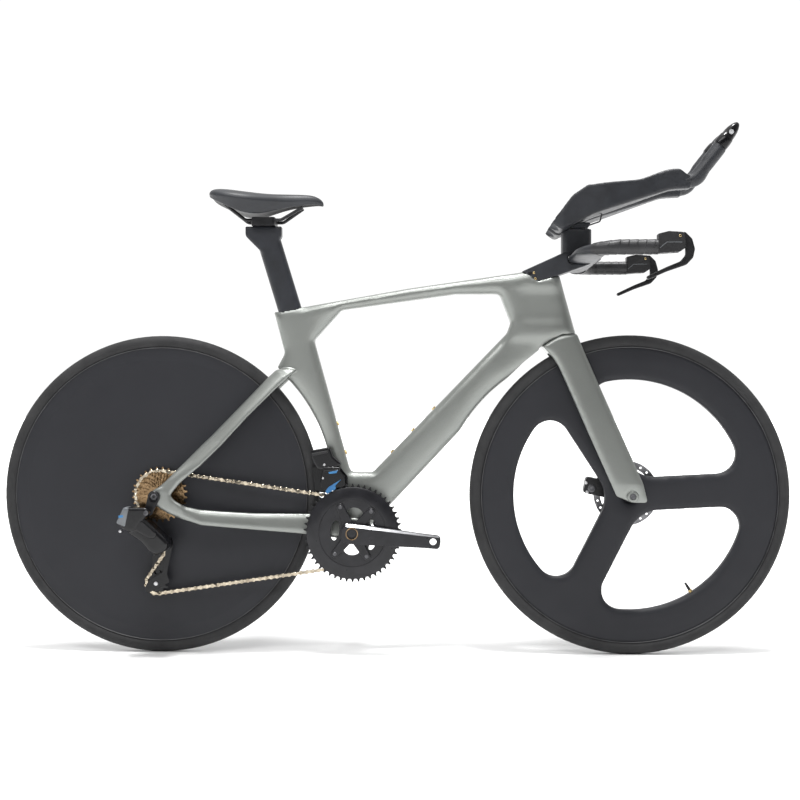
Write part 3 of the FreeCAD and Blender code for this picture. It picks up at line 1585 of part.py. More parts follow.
def make_ring_bolts():
    bolts = []
    inside = -(S.small_ring_offset - S.small_ring_thickness / 2)
    outside = -(S.big_ring_offset + S.big_ring_thickness / 2)
    for angle in bolt_angles():
        bolt = BRACKET + polar(S.ring_bolt_circle, angle)
        shank = disc(bolt, S.ring_bolt_radius, outside, inside)
        head = disc(bolt, S.ring_bolt_head_radius, inside, inside + S.ring_bolt_head_height)
        bolts.append(shank.fuse(head).removeSplitter())
    keep_shape("chainring_bolts", *bolts)


def make_cassette():
    """The cogs, each with the collar that spaces it from the next, the lock ring and the freehub body."""
    cogs = []
    bore = S.freehub_radius + S.running_fit
    for index, teeth in enumerate(CASSETTE_TEETH):
        plane = -(S.largest_cog_offset + index * S.cog_pitch)
        phase = tooth_phase(COG_STRETCH) if teeth == int(S.engaged_cog) else 0
        cog = sprocket(REAR_AXLE, teeth, phase, plane, S.cog_thickness, bore)
        face = plane - S.cog_thickness / 2
        if index < len(CASSETTE_TEETH) - 1:
            collar = min(S.cog_collar_radius, pitch_radius(CASSETTE_TEETH[index + 1]) - S.roller_radius - 1)
            next_face = face - S.cog_pitch + S.cog_thickness
            cog = cog.fuse(ring(REAR_AXLE, collar, bore, next_face, face)).removeSplitter()
        cogs.append(cog)
    end = -(S.largest_cog_offset + (len(CASSETTE_TEETH) - 1) * S.cog_pitch + S.cog_thickness / 2)
    bore = S.rear_spindle_radius + S.moving_gap
    lockring = ring(REAR_AXLE, S.lockring_radius, bore, end - S.lockring_height, end)
    keep_shape("cassette", *cogs, lockring)
    body = ring(REAR_AXLE, S.freehub_radius, S.rear_spindle_radius + S.running_fit, end, -S.freehub_start)
    keep_shape("freehub_body", body)


make_chainrings()
make_cranks()
make_ring_bolts()
make_cassette()


# Chain


def link_plate(radius, low, high):
    """A plate with round ends, narrowed at its waist, centred on the link."""
    half = S.chain_pitch / 2
    rear = Vector(-half, 0, 0)
    front = Vector(half, 0, 0)
    waist = S.plate_waist / 2
    web = slab([(Vector(-half, 0, waist), 0), (Vector(half, 0, waist), 0), (Vector(half, 0, -waist), 0),
                (Vector(-half, 0, -waist), 0)], low, high)
    return fused([web, disc(rear, radius, low, high), disc(front, radius, low, high)])


def chain_link(outer):
    """One link: an inner one with its two rollers, or an outer one with its two pins."""
    half = S.chain_pitch / 2
    inside = S.chain_inner_width / 2
    if outer:
        inside += S.plate_thickness + S.chain_play
    outside = inside + S.plate_thickness
    radius = S.plate_height / 2
    pieces = [link_plate(radius, inside, outside), link_plate(radius, -outside, -inside)]
    for end in (Vector(-half, 0, 0), Vector(half, 0, 0)):
        radius = S.pin_radius if outer else S.roller_radius
        pieces.append(disc(end, radius, -outside, outside))
    solid = fused(pieces)
    if not outer:
        for end in (Vector(-half, 0, 0), Vector(half, 0, 0)):
            solid = solid.cut(disc(end, S.pin_radius + S.chain_play, -outside, outside))
    return solid.removeSplitter()


def make_chain():
    """The links on the rings, the cog and between them, and those that the derailleur cage carries."""
    links = {True: chain_link(True), False: chain_link(False)}
    main_run = []
    cage_run = []
    for index in range(LINK_COUNT):
        start = route_point(index)[0]
        end = route_point((index + 1) % LINK_COUNT)[0]
        stretch = route_point(index + 1 / 2)[1]
        along = (end - start).normalize()
        turn = FreeCAD.Rotation(along, SIDEWAYS, Vector(), "XYZ")
        link = links[index % 2 == 1].copy()
        link.Placement = FreeCAD.Placement((start + end) / 2, turn)
        group = cage_run if TENSION_STRETCH <= stretch < COG_STRETCH else main_run
        group.append(link)
    keep_shape("chain_main_run", *main_run)
    keep_shape("chain_cage_run", *cage_run)


make_chain()


# Rear derailleur

DROPOUT_FACE = -(S.rear_dropout_inner + S.dropout_thickness)
HANGER_FACE = DROPOUT_FACE - S.hanger_thickness
MOUNT = REAR_AXLE + Vector(-S.mount_back, 0, -S.mount_drop)
PIVOT = GUIDE + Vector(S.pivot_ahead, 0, -S.pivot_drop)
CAGE_HALF = S.cage_plate_gap
MOTOR_MIDDLE = 0.6
OUTER_PLATE_FACE = COG_PLANE - CAGE_HALF - S.cage_plate_thickness


def capsule(start, end, start_radius, end_radius, low, high):
    """A plate with two round ends joined by straight flanks."""
    along = (end - start).normalize()
    across = quarter_turn(along)
    flank = [(start + across * start_radius, 0), (end + across * end_radius, 0),
             (end - across * end_radius, 0), (start - across * start_radius, 0)]
    ends = [disc(start, start_radius, low, high), disc(end, end_radius, low, high)]
    return fused([slab(flank, low, high)] + ends)


def make_hanger():
    solid = capsule(REAR_AXLE, MOUNT, S.hanger_radius, S.mount_radius, HANGER_FACE, DROPOUT_FACE)
    keep_shape("derailleur_hanger", solid.cut(disc(REAR_AXLE, S.axle_radius + S.running_fit, HANGER_FACE, 0)))


def make_rear_derailleur():
    """The mount on the hanger, the motor link that slants inwards, and the knuckle that holds the cage."""
    mount_low = HANGER_FACE - S.mount_thickness
    arm_end = MOUNT + Vector(-S.mount_arm_back, 0, -S.mount_arm_drop)
    mount = capsule(MOUNT, arm_end, S.mount_radius, S.motor_depth / 2, mount_low, HANGER_FACE)
    knuckle_low = OUTER_PLATE_FACE - S.moving_gap - S.knuckle_length
    knuckle_high = OUTER_PLATE_FACE - S.moving_gap
    knuckle = disc(PIVOT, S.knuckle_radius, knuckle_low, knuckle_high)
    start = arm_end + SIDEWAYS * (mount_low - S.motor_thickness / 2)
    end = PIVOT + SIDEWAYS * (knuckle_low - S.motor_thickness / 2)
    run = (end - start).normalize()
    thick = S.motor_thickness
    motor = bar([
        (start - run * S.motor_overrun, S.motor_depth, thick),
        (start, S.motor_depth, thick),
        (start + (end - start) * MOTOR_MIDDLE, S.motor_depth, thick),
        (end, S.motor_end_depth, thick),
        (end + run * S.motor_overrun, S.motor_end_depth, thick),
    ])
    knuckle = knuckle.fuse(disc(PIVOT, S.pivot_radius, knuckle_high, COG_PLANE - CAGE_HALF))
    keep_shape("derailleur_mount", largest(mount.cut(motor)))
    keep_shape("derailleur_motor", largest(motor.cut(knuckle)))
    keep_shape("derailleur_knuckle", knuckle.removeSplitter())


def make_cage():
    """Two cage plates held by the pulley bolts."""
    inside_low = COG_PLANE + CAGE_HALF
    outline = [
        (GUIDE + Vector(-S.cage_plate_radius, 0, S.cage_plate_radius), S.pivot_radius),
        (GUIDE + Vector(-S.cage_plate_radius, 0, -S.cage_plate_radius), S.cage_plate_radius),
        (TENSION + Vector(-S.cage_plate_radius, 0, S.cage_plate_radius), S.cage_plate_radius),
        (TENSION + Vector(-S.cage_foot_back, 0, -S.cage_plate_radius), S.pulley_bolt_radius),
        (TENSION + Vector(-S.cage_plate_radius, 0, -S.cage_foot_drop), S.pivot_radius),
        (TENSION + Vector(S.cage_front, 0, -S.cage_plate_radius), S.pivot_radius),
        (TENSION + Vector(S.cage_plate_radius, 0, S.cage_plate_radius), S.cage_plate_radius),
        (PIVOT + Vector(S.knuckle_radius, 0, -S.cage_plate_radius), S.cage_plate_radius),
        (PIVOT + Vector(S.knuckle_radius, 0, S.knuckle_radius), S.pivot_radius),
    ]
    outer = slab(outline, OUTER_PLATE_FACE, COG_PLANE - CAGE_HALF)
    outer = outer.cut(disc(PIVOT, S.pivot_radius + S.running_fit, OUTER_PLATE_FACE - 1, COG_PLANE))
    inner = capsule(GUIDE, TENSION, S.cage_plate_radius, S.cage_plate_radius, inside_low,
                    inside_low + S.cage_plate_thickness)
    inside = COG_PLANE - CAGE_HALF
    bolts = [disc(center, S.pulley_bolt_radius, inside, inside_low) for center in (GUIDE, TENSION)]
    keep_shape("derailleur_cage", fused([outer, inner] + bolts))


def make_pulley(label, center, stretch):
    phase = tooth_phase(stretch)
    bore = S.pulley_bolt_radius + S.running_fit
    wheel = sprocket(center, int(S.pulley_teeth), phase, COG_PLANE, S.pulley_thickness, bore)
    half = CAGE_HALF - S.moving_gap
    hub = ring(center, S.pulley_bolt_radius * 2, bore, COG_PLANE - half, COG_PLANE + half)
    keep_shape(label, wheel.fuse(hub).removeSplitter())


make_hanger()
make_rear_derailleur()
make_cage()
make_pulley("guide_pulley", GUIDE, GUIDE_STRETCH)
make_pulley("tension_pulley", TENSION, TENSION_STRETCH)


# Front derailleur


def arc_band(center, inner, outer, start, end, low, high):
    """A band between two radii and two angles."""
    middle = (start + end) / 2
    points = [center + polar(radius, angle, low) for radius, angle in
              ((inner, start), (inner, middle), (inner, end), (outer, end), (outer, middle), (outer, start))]
    edges = [
        Part.Arc(points[0], points[1], points[2]).toShape(),
        Part.makeLine(points[2], points[3]),
        Part.Arc(points[3], points[4], points[5]).toShape(),
        Part.makeLine(points[5], points[0]),
    ]
    return Part.Face(Part.Wire(edges)).extrude(SIDEWAYS * (high - low))


FD_PIN = from_bracket(-S.fd_body_back + S.fd_body_length / 3, S.fd_body_rise - S.fd_body_height / 4)


def make_front_derailleur():
    """The body on the seat tube, and the cage whose pin slides in it."""
    body_corner = S.fd_body_length / 5
    center = from_bracket(-S.fd_body_back, S.fd_body_rise)
    half = S.fd_body_length / 2
    tall = S.fd_body_height / 2
    outline = [
        (center + Vector(-half, 0, tall / 2), body_corner),
        (center + Vector(-half / 2, 0, -tall), body_corner),
        (center + Vector(half, 0, -tall), body_corner),
        (center + Vector(half, 0, tall / 2), body_corner),
        (center + Vector(0, 0, tall), body_corner),
    ]
    body = slab(outline, -S.fd_body_out, 0)
    deep = S.fd_inner_plate - S.fd_plate_thickness
    floor = center.z - tall + S.fd_body_height / 3
    room_corner = Vector(center.x - S.fd_body_length, -deep - S.fd_body_out * 2, floor - S.fd_body_height)
    lower_room = Part.makeBox(S.fd_body_length * 2, S.fd_body_out * 2, S.fd_body_height, room_corner)
    body = body.cut(main_frame.Shape).cut(lower_room)
    body = body.cut(rod(Vector(FD_PIN.x, -S.fd_body_out, FD_PIN.z), Vector(FD_PIN.x, 0, FD_PIN.z),
                        S.fd_arm_radius + S.running_fit))
    near = [solid for solid in body.Solids if solid.BoundBox.YMin < -S.frame_rear_width]
    keep_shape("front_derailleur_body", largest(Part.makeCompound(near)))
    tip = pitch_radius(S.big_ring_teeth) + S.tooth_height
    inner = tip + S.fd_cage_clearance
    outer = inner + S.fd_cage_depth
    start = S.fd_cage_start
    end = S.fd_cage_end
    thick = S.fd_plate_thickness
    outer_plate = arc_band(BRACKET, inner, outer, start, end, -S.fd_outer_plate - thick, -S.fd_outer_plate)
    inner_plate = arc_band(BRACKET, inner, outer, start, end, -S.fd_inner_plate, -S.fd_inner_plate + thick)
    roof_low = -S.fd_outer_plate - thick
    roof_high = -S.fd_inner_plate + thick
    roof = arc_band(BRACKET, outer - thick, outer, start, end, roof_low, roof_high)
    arm_high = -S.fd_body_out - S.fd_trim_room
    arm_low = arm_high - 2 * thick
    pin = disc(FD_PIN, S.fd_arm_radius, arm_high, -S.fd_inner_plate + S.fd_pin_depth)
    arm_foot = BRACKET + polar(outer - thick, (start + end) / 2)
    arm = capsule(FD_PIN, arm_foot, S.fd_arm_radius * 2, S.fd_arm_radius * 2, arm_low, arm_high)
    lug = disc(arm_foot, S.fd_arm_radius * 2, arm_low, -S.fd_inner_plate)
    keep_shape("front_derailleur_cage", fused([outer_plate, inner_plate, roof, pin, arm, lug]))


make_front_derailleur()


# Disc brakes


def make_caliper(label, center, plane, outer, turn, seat):
    """A caliper over the rotor with its two pads, seated on what carries it."""
    rotation = FreeCAD.Rotation(SIDEWAYS, turn)

    def at(ahead, rise):
        return center + rotation.multVec(Vector(ahead, 0, rise))

    low = plane - S.caliper_inner
    high = outer
    start = S.caliper_start
    reach = S.caliper_reach
    half = S.caliper_height / 2
    body = slab([(at(start, -half), S.caliper_corner), (at(start, half), S.caliper_corner),
                 (at(reach, half), S.caliper_corner), (at(reach, -half), S.caliper_corner)], low, high)
    slot_half = S.caliper_slot / 2
    body = body.cut(disc(center, S.rotor_radius + S.caliper_rotor_gap, plane - slot_half, plane + slot_half))
    if seat:
        body = body.cut(seat)
    pads = []
    pad_in = S.rotor_radius - S.rotor_track
    pad_half = half / 2
    for side in (-1, 1):
        near = plane + side * (S.rotor_thickness / 2 + S.pad_gap)
        far = near + side * S.pad_thickness
        pad = [(at(pad_in, -pad_half), 0), (at(pad_in, pad_half), 0),
               (at(S.rotor_radius, pad_half), 0), (at(S.rotor_radius, -pad_half), 0)]
        pads.append(slab(pad, min(near, far), max(near, far)))
    keep_shape(label, largest(body), *pads)


FRONT_CALIPER_TURN = 192.0
REAR_CALIPER_TURN = 4.0
make_caliper("front_caliper", FRONT_AXLE, S.front_dropout_inner - S.front_rotor_inset,
             S.front_dropout_inner - S.caliper_seat_gap, FRONT_CALIPER_TURN, None)
make_caliper("rear_caliper", REAR_AXLE, S.rear_dropout_inner - S.rear_rotor_inset,
             S.rear_dropout_inner - S.caliper_seat_gap, REAR_CALIPER_TURN, chain_stay_left.Shape)


# Stem and base bar


def stem_outline():
    """The side of the stem: a tail that fills the notch of the frame, and a nose that holds the bar."""
    floor = S.head_top + S.moving_gap
    front_low = S.head_top + S.stem_front_low
    return [
        (steer(-S.notch_top_radius + S.moving_gap, S.head_top + S.stem_tail_height), 0),
        (steer(-S.notch_radius + S.moving_gap, floor), 0),
        (steer(S.head_front, floor), 0),
        (steer(S.stem_front, front_low), S.stem_corner),
        (steer(S.stem_front, S.head_top + S.stem_front_height), S.stem_corner),
        (steer(S.stem_top_ahead, S.head_top + S.stem_top_height), S.stem_corner),
    ]


WING = steer(S.wing_ahead, S.wing_height)
BAR_BEND_STEPS = 8


def flat_section(center, along, chord, height):
    """A rounded section square to a level run: its chord lies level."""
    across = Vector(-along.y, along.x, 0).normalize()
    corner = min(chord, height) * SECTION_ROUND
    outline = []
    for across_sign, tall_sign in ((1, 1), (1, -1), (-1, -1), (-1, 1)):
        point = center + across * (across_sign * chord / 2) + Vector(0, 0, tall_sign * height / 2)
        outline.append((point, corner))
    return rounded_wire(outline)


def base_bar_half(side):
    """One half of the wing with its grip, from the middle outwards and forwards."""
    bend = S.bar_bend
    turn_start = S.bar_half_width - bend
    stations = [(0, 0, 0)]
    for step in range(BAR_BEND_STEPS + 1):
        angle = math.pi / 2 * step / BAR_BEND_STEPS
        stations.append((bend * (1 - math.cos(angle)), turn_start + bend * math.sin(angle), angle))
    stations.append((S.grip_reach, S.bar_half_width, math.pi / 2))
    wires = []
    for ahead, out, angle in stations:
        share = angle / (math.pi / 2)
        chord = S.wing_chord + (S.grip_width - S.wing_chord) * share
        height = S.wing_thickness + (S.grip_height - S.wing_thickness) * share
        center = WING + Vector(ahead, side * out, S.grip_lift * share)
        along = Vector(math.sin(angle), side * math.cos(angle), 0)
        wires.append(flat_section(center, along, chord, height))
    return Part.makeLoft(wires, True, True)


def make_stem():
    half = S.stem_width / 2
    profile = slab(stem_outline(), -half, half)
    far = WHEELBASE
    rear_half = [(steer(0, 0), 0), (steer(0, far), 0), (steer(-far, far), 0), (steer(-far, 0), 0)]
    behind = slab(rear_half, -half, half)
    solid = profile.common(stem_space(S.moving_gap)).fuse(profile.cut(behind)).removeSplitter()
    bar_solid = fused([base_bar_half(1), base_bar_half(-1)])
    keep_shape("base_bar", bar_solid)
    screws = []
    for step in range(2):
        place = steer(-S.stem_screw_back, S.head_top + S.stem_screw_low + step * S.stem_screw_pitch)
        screw = disc(place, S.stem_screw_radius, -half, -half + S.stem_screw_length)
        screws.append(screw.common(solid))
    solid = solid.cut(bar_solid).cut(fork.Shape)
    for screw in screws:
        solid = solid.cut(screw)
    keep_shape("stem", largest(solid.removeSplitter()))
    return screws


# Extensions

ARM = WING + Vector(-S.riser_back, 0, S.riser_top)

# Side outline of an arm: distance ahead of the riser, rise over it, corner radius
ARM_SIDE = (
    (-60, 3, 2),
    (-38, -11, 8),
    (28, 22, 40),
    (187, 75, 30),
    (229, 78, 0),
    (229, 105, 0),
    (197, 106, 12),
    (123, 95, 40),
    (13, 82, 12),
    (-18, 61, 20),
    (-42, 29, 10),
    (-60, 9, 2),
)
# Outline of an arm from above: distance ahead of the riser, half width, corner radius
ARM_PLAN = (
    (-62, 32, 10),
    (-40, 42, 20),
    (55, 42, 40),
    (160, 16, 40),
    (229, 13.4, 0),
)
# Middle line of an upturned grip: distance ahead of the riser, rise over it
GRIP_LINE = ((205, 91.5), (245, 95), (269, 138), (303, 181))
GRIP_BEND = 26.0
# Side outline of a lever pod: distance ahead of the grip end, rise over its middle, corner radius
POD_SIDE = ((0, -13.5, 0), (0, 25, 0), (20, 30, 15), (50, 28, 6), (53, 8, 6), (53, -3, 4), (42, -10.5, 4))
# Side outline of a brake lever from its pivot: ahead, rise, corner radius
LEVER_SIDE = (
    (-7, 5, 4),
    (6, 8, 5),
    (20, -6, 8),
    (25.5, -26, 10),
    (22, -43, 10),
    (9, -57, 12),
    (-29, -70, 20),
    (-66, -86, 3),
    (-70, -80, 3),
    (-30, -61, 20),
    (-3, -50, 12),
    (7, -38, 8),
    (7, -22, 8),
    (-7, -8, 4),
)


def arm_point(ahead, rise, y):
    return ARM + Vector(ahead, y, rise)


def outline_at(place, table):
    return [(place + Vector(ahead, 0, rise), radius) for ahead, rise, radius in table]


def trough_axis(y):
    """A point at the rear of the forearm trough and the direction of the trough."""
    return arm_point(-S.trough_back, S.trough_rise, y), polar(1, S.trough_slope)


def make_extension(side):
    y = side * S.arm_spread
    tall = WHEELBASE
    far = S.bar_half_width
    body = slab(outline_at(ARM, ARM_SIDE), y - far, y + far)
    left = [(arm_point(ahead, -tall, y + half), radius) for ahead, half, radius in ARM_PLAN]
    right = [(arm_point(ahead, -tall, y - half), radius) for ahead, half, radius in reversed(ARM_PLAN)]
    body = body.common(upright(left + right, Vector(0, 0, 2 * tall)))
    rear, along = trough_axis(y)
    start = rear - along * S.trough_length
    trough = Part.makeCylinder(S.trough_radius, 2 * S.trough_length, start, along)
    upwards = quarter_turn(along) * -1
    across = SIDEWAYS * S.trough_radius
    opening = [(start + across, 0), (start - across, 0), (start - across + upwards * far, 0),
               (start + across + upwards * far, 0)]
    body = body.cut(trough).cut(upright(opening, along * (2 * S.trough_length)))
    line = [arm_point(ahead, rise, y) for ahead, rise in GRIP_LINE]
    grip = pipe(line, S.extension_radius, GRIP_BEND)
    return largest(body.fuse(grip).removeSplitter())


def make_arm_pad(side):
    """A padded lining of the trough, thickest in its middle."""
    rear, along = trough_axis(side * S.arm_spread)
    downwards = quarter_turn(along)
    outer = S.trough_radius - S.pad_fit
    start = rear + along * S.pad_start
    end = start + along * S.pad_length
    middle = (start + end) / 2
    corners = [start + downwards * outer, start + downwards * (outer - S.pad_edge),
               middle + downwards * (outer - S.pad_crown), end + downwards * (outer - S.pad_edge),
               end + downwards * outer]
    edges = [
        Part.makeLine(corners[0], corners[1]),
        Part.Arc(corners[1], corners[2], corners[3]).toShape(),
        Part.makeLine(corners[3], corners[4]),
        Part.makeLine(corners[4], corners[0]),
    ]
    profile = Part.Face(Part.Wire(edges))
    profile.rotate(rear, along, -S.pad_angle / 2)
    pad = profile.revolve(rear, along, S.pad_angle)
    inner = [edge for edge in pad.Edges if (edge.CenterOfMass - rear).dot(downwards) < outer - S.pad_edge / 2]
    return pad.makeFillet(S.pad_edge / 3, inner) if inner else pad


def make_shifter(side):
    """The shifter that closes a grip, with a pocket for its button."""
    y = side * S.arm_spread
    base = arm_point(GRIP_LINE[-1][0], GRIP_LINE[-1][1], y)
    before = arm_point(GRIP_LINE[-2][0], GRIP_LINE[-2][1], y)
    along = (base - before).normalize()
    pod = Part.makeCone(S.extension_radius, S.shifter_tip_radius, S.shifter_length, base, along)
    tip = base + along * S.shifter_length
    pod = soften(pod, S.shifter_edge, lambda edge: (edge.CenterOfMass - tip).Length < S.running_fit)
    place = base + along * S.button_place
    taper = (S.extension_radius - S.shifter_tip_radius) / S.shifter_length
    face = S.extension_radius - taper * S.button_place
    outside = y + side * (face + S.button_height)
    inside = y + side * (face - S.button_depth)
    floor = inside - side * (S.button_travel + S.moving_gap)
    button = disc(place, S.button_radius, min(outside, inside), max(outside, inside))
    pocket = disc(place, S.button_radius + S.running_fit, min(outside, floor), max(outside, floor))
    return pod.cut(pocket), button


def make_lever_set(side):
    """A lever pod on the end of a grip with its pin, and the brake lever."""
    y = side * S.bar_half_width
    end = WING + Vector(S.grip_reach, y, S.grip_lift)
    half = S.lever_pod_width / 2
    pod = slab(outline_at(end, POD_SIDE), y - half, y + half)
    slot_half = S.lever_thickness / 2 + S.moving_gap
    tall = S.lever_pod_width * 4
    slot = [(end + Vector(S.lever_pod_web, 0, -tall), 0), (end + Vector(tall, 0, -tall), 0),
            (end + Vector(tall, 0, tall), 0), (end + Vector(S.lever_pod_web, 0, tall), 0)]
    pod = pod.cut(slab(slot, y - slot_half, y + slot_half))
    pivot = end + Vector(S.lever_pivot_ahead, 0, S.lever_pivot_rise)
    pod = pod.cut(disc(pivot, S.lever_pin_radius, y - half, y + half))
    pin = disc(pivot, S.lever_pin_radius, y - half, y + half)
    thick = S.lever_thickness / 2
    lever = slab(outline_at(pivot, LEVER_SIDE), y - thick, y + thick)
    lever = lever.cut(disc(pivot, S.lever_pin_radius + S.running_fit, y - thick, y + thick))
    return pod, pin, lever


def make_riser():
    """The column on the stem with the bridge under the arms."""
    base = ARM - Vector(0, 0, S.riser_top)
    half_length = S.riser_length / 2
    half_width = S.riser_width / 2
    foot = [(base + Vector(x * half_length, y * half_width, 0), S.riser_corner)
            for x, y in ((1, 1), (1, -1), (-1, -1), (-1, 1))]
    column = upright(foot, Vector(0, 0, S.riser_top))
    bridge = Part.makeBox(S.bridge_length, S.bridge_width, S.bridge_thickness,
                          ARM + Vector(-S.bridge_length / 2, -S.bridge_width / 2, 0))
    return fused([column, bridge])


def make_riser_bolts():
    bolts = []
    for ahead_sign in (-1, 1):
        for side in (-1, 1):
            place = ARM + Vector(ahead_sign * S.riser_bolt_spread, side * S.riser_bolt_side, 0)
            shank = rod(place, place + Vector(0, 0, S.riser_bolt_length), S.riser_bolt_radius)
            head = rod(place - Vector(0, 0, S.riser_bolt_head_height), place, S.riser_bolt_head_radius)
            bolts.append(shank.fuse(head).removeSplitter())
    return bolts


def make_cockpit():
    screws = make_stem()
    arms = [make_extension(-1), make_extension(1)]
    bolts = make_riser_bolts()
    riser = make_riser()
    blockers = [piece.Shape for piece in PIECES if piece.Label in ("stem", "base_bar")]
    for blocker in blockers + arms + bolts:
        riser = riser.cut(blocker)
    arms = [arm.cut(Part.makeCompound(bolts)) for arm in arms]
    riser = largest(riser.removeSplitter())
    keep_shape("riser", riser)
    keep_shape("cockpit_bolts", *(bolts + screws))
    keep_shape("extensions", *arms)
    keep_shape("arm_pads", make_arm_pad(-1), make_arm_pad(1))
    pods = []
    lever_pods = []
    for side, name in ((-1, "right"), (1, "left")):
        pod, button = make_shifter(side)
        pods.append(pod)
        keep_shape("shift_button_" + name, button)
        lever_pod, pin, lever = make_lever_set(side)
        lever_pods += [lever_pod, pin]
        keep_shape("brake_lever_" + name, lever)
    keep_shape("shifter_pods", *pods)
    keep_shape("lever_pods", *lever_pods)
    line = [arm_point(ahead, rise, -S.wire_side) for ahead, rise in WIRE_LINE]
    wire = pipe(line, S.wire_radius, S.wire_bend).cut(riser).cut(arms[0])
    keep_shape("shift_wire", largest(wire))


# Middle line of the wire from under an arm to the bridge: distance ahead of the riser, rise over it
WIRE_LINE = ((53, 38), (47, 14), (18, 4))
make_cockpit()


# Tests and export


def check_document():
    doc.recompute()
    for item in doc.Objects:
        if "Invalid" in item.State or "Error" in item.State:
            raise ValueError("%s failed: %s" % (item.Name, item.State))
    for piece in PIECES:
        if piece.Shape.isNull() or not piece.Shape.isValid():
            raise ValueError("%s has no valid shape" % piece.Label)
        if not piece.Shape.Solids:
            raise ValueError("%s has no solid" % piece.Label)


check_document()
os.makedirs("parts", exist_ok=True)
for piece in PIECES:
    piece.Shape.exportStep("parts/%s.step" % piece.Label)
    print("%-28s %3d solids %12.0f mm3" % (piece.Label, len(piece.Shape.Solids), piece.Shape.Volume))
print(len(PIECES), "pieces")
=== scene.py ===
import math

import bmesh
import bpy
import numpy as np
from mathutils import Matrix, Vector
from mathutils.bvhtree import BVHTree


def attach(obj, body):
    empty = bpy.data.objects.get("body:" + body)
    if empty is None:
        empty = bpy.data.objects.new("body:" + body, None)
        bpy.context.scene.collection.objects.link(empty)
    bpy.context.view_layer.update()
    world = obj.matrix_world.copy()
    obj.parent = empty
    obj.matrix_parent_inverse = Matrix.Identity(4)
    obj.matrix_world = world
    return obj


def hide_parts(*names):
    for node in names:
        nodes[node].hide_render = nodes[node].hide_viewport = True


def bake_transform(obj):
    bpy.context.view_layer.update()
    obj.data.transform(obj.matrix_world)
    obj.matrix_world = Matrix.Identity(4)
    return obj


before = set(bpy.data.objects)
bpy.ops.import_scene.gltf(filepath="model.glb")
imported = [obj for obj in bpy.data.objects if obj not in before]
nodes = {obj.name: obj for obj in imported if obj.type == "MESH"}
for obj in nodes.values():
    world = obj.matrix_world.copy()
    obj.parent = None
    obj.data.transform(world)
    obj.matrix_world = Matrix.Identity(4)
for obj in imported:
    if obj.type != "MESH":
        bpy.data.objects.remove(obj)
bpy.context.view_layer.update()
scene = bpy.context.scene

# Metres, unless a comment says millimetres. X points forward, Y to the rider's left and Z up.
MM = 0.001
SIDEWAYS = Vector((0, 1, 0))
UPWARD = Vector((0, 0, 1))
SIDES = ((-1, "right"), (1, "left"))
REAR_AXLE = Vector((-0.499, 0, 0.339))
FRONT_AXLE = Vector((0.499, 0, 0.339))
BRACKET = Vector((-0.086307, 0, 0.261))
WING = Vector((0.40005, 0, 0.838))
ARM = Vector((0.38705, 0, 0.902))
BAR_HALF = 0.200
ARM_SPREAD = 0.052


# Mesh helpers

WELD = 0.01 * MM
SHARP = math.radians(42)
EVEN_OUT = 0.5
PUSH_BACK = -0.52
ACROSS_ONLY = (1,)
SWEEP_POINTS = 32
ROUND_POINTS = 72
OPENING_POINTS = 40
CORNER_STEPS = 5
CORNER_SHARE = 0.48
STRAP_STEPS = 14


def put(name, data):
    """A new object in the scene."""
    obj = bpy.data.objects.new(name, data)
    scene.collection.objects.link(obj)
    return obj


def put_shape(name, shape):
    """A new object from a bmesh, which is used up."""
    mesh = bpy.data.meshes.new(name)
    shape.to_mesh(mesh)
    shape.free()
    return put(name, mesh)


def add_mesh(name, vertices, faces):
    """A new object whose faces look outwards."""
    mesh = bpy.data.meshes.new(name)
    mesh.from_pydata([tuple(v) for v in vertices], [], faces)
    mesh.update()
    shape = bmesh.new()
    shape.from_mesh(mesh)
    bmesh.ops.recalc_face_normals(shape, faces=shape.faces)
    shape.to_mesh(mesh)
    shape.free()
    return put(name, mesh)


def node_shape(source):
    """A CAD node as a bmesh with joined vertices."""
    shape = bmesh.new()
    shape.from_mesh(nodes[source].data)
    bmesh.ops.remove_doubles(shape, verts=shape.verts, dist=WELD)
    return shape


def evaluated_mesh(obj):
    graph = bpy.context.evaluated_depsgraph_get()
    return bpy.data.meshes.new_from_object(obj.evaluated_get(graph))


def modify(obj, kind, **settings):
    """Adds a modifier and applies it."""
    modifier = obj.modifiers.new(kind, kind)
    for name, value in settings.items():
        setattr(modifier, name, value)
    old = obj.data
    mesh = evaluated_mesh(obj)
    obj.modifiers.clear()
    obj.data = mesh
    bpy.data.meshes.remove(old)
    return obj


def remesh(obj, voxel):
    return modify(obj, "REMESH", mode="VOXEL", voxel_size=voxel)


def subdivide(obj):
    return modify(obj, "SUBSURF", levels=1, render_levels=1)


def node_skin(name, source, voxel):
    """A copy of a CAD node with an even mesh."""
    return remesh(put_shape(name, node_shape(source)), voxel)


def points_of(obj):
    co = np.empty(len(obj.data.vertices) * 3)
    obj.data.vertices.foreach_get("co", co)
    return co.reshape(-1, 3)


def set_points(obj, co):
    obj.data.vertices.foreach_set("co", co.astype(np.float32).ravel())
    obj.data.update()


def relax(obj, rounds, back=True, axes=(0, 1, 2), weight=1.0):
    """Evens out the surface along the axes, as far as the weight says. With back, the volume is kept."""
    co = points_of(obj)
    ends = np.empty(len(obj.data.edges) * 2, np.int32)
    obj.data.edges.foreach_get("vertices", ends)
    a, b = ends.reshape(-1, 2).T
    count = len(co)
    degree = np.maximum(np.bincount(a, minlength=count) + np.bincount(b, minlength=count), 1)
    for _ in range(rounds):
        for strength in ((EVEN_OUT, PUSH_BACK) if back else (EVEN_OUT,)):
            for axis in axes:
                total = np.bincount(a, co[b, axis], count) + np.bincount(b, co[a, axis], count)
                co[:, axis] += strength * weight * (total / degree - co[:, axis])
    set_points(obj, co)
    return obj


def soften(obj, voxel, rounds):
    """Gives an object an even mesh and rounds it off."""
    return relax(remesh(obj, voxel), rounds, back=False)


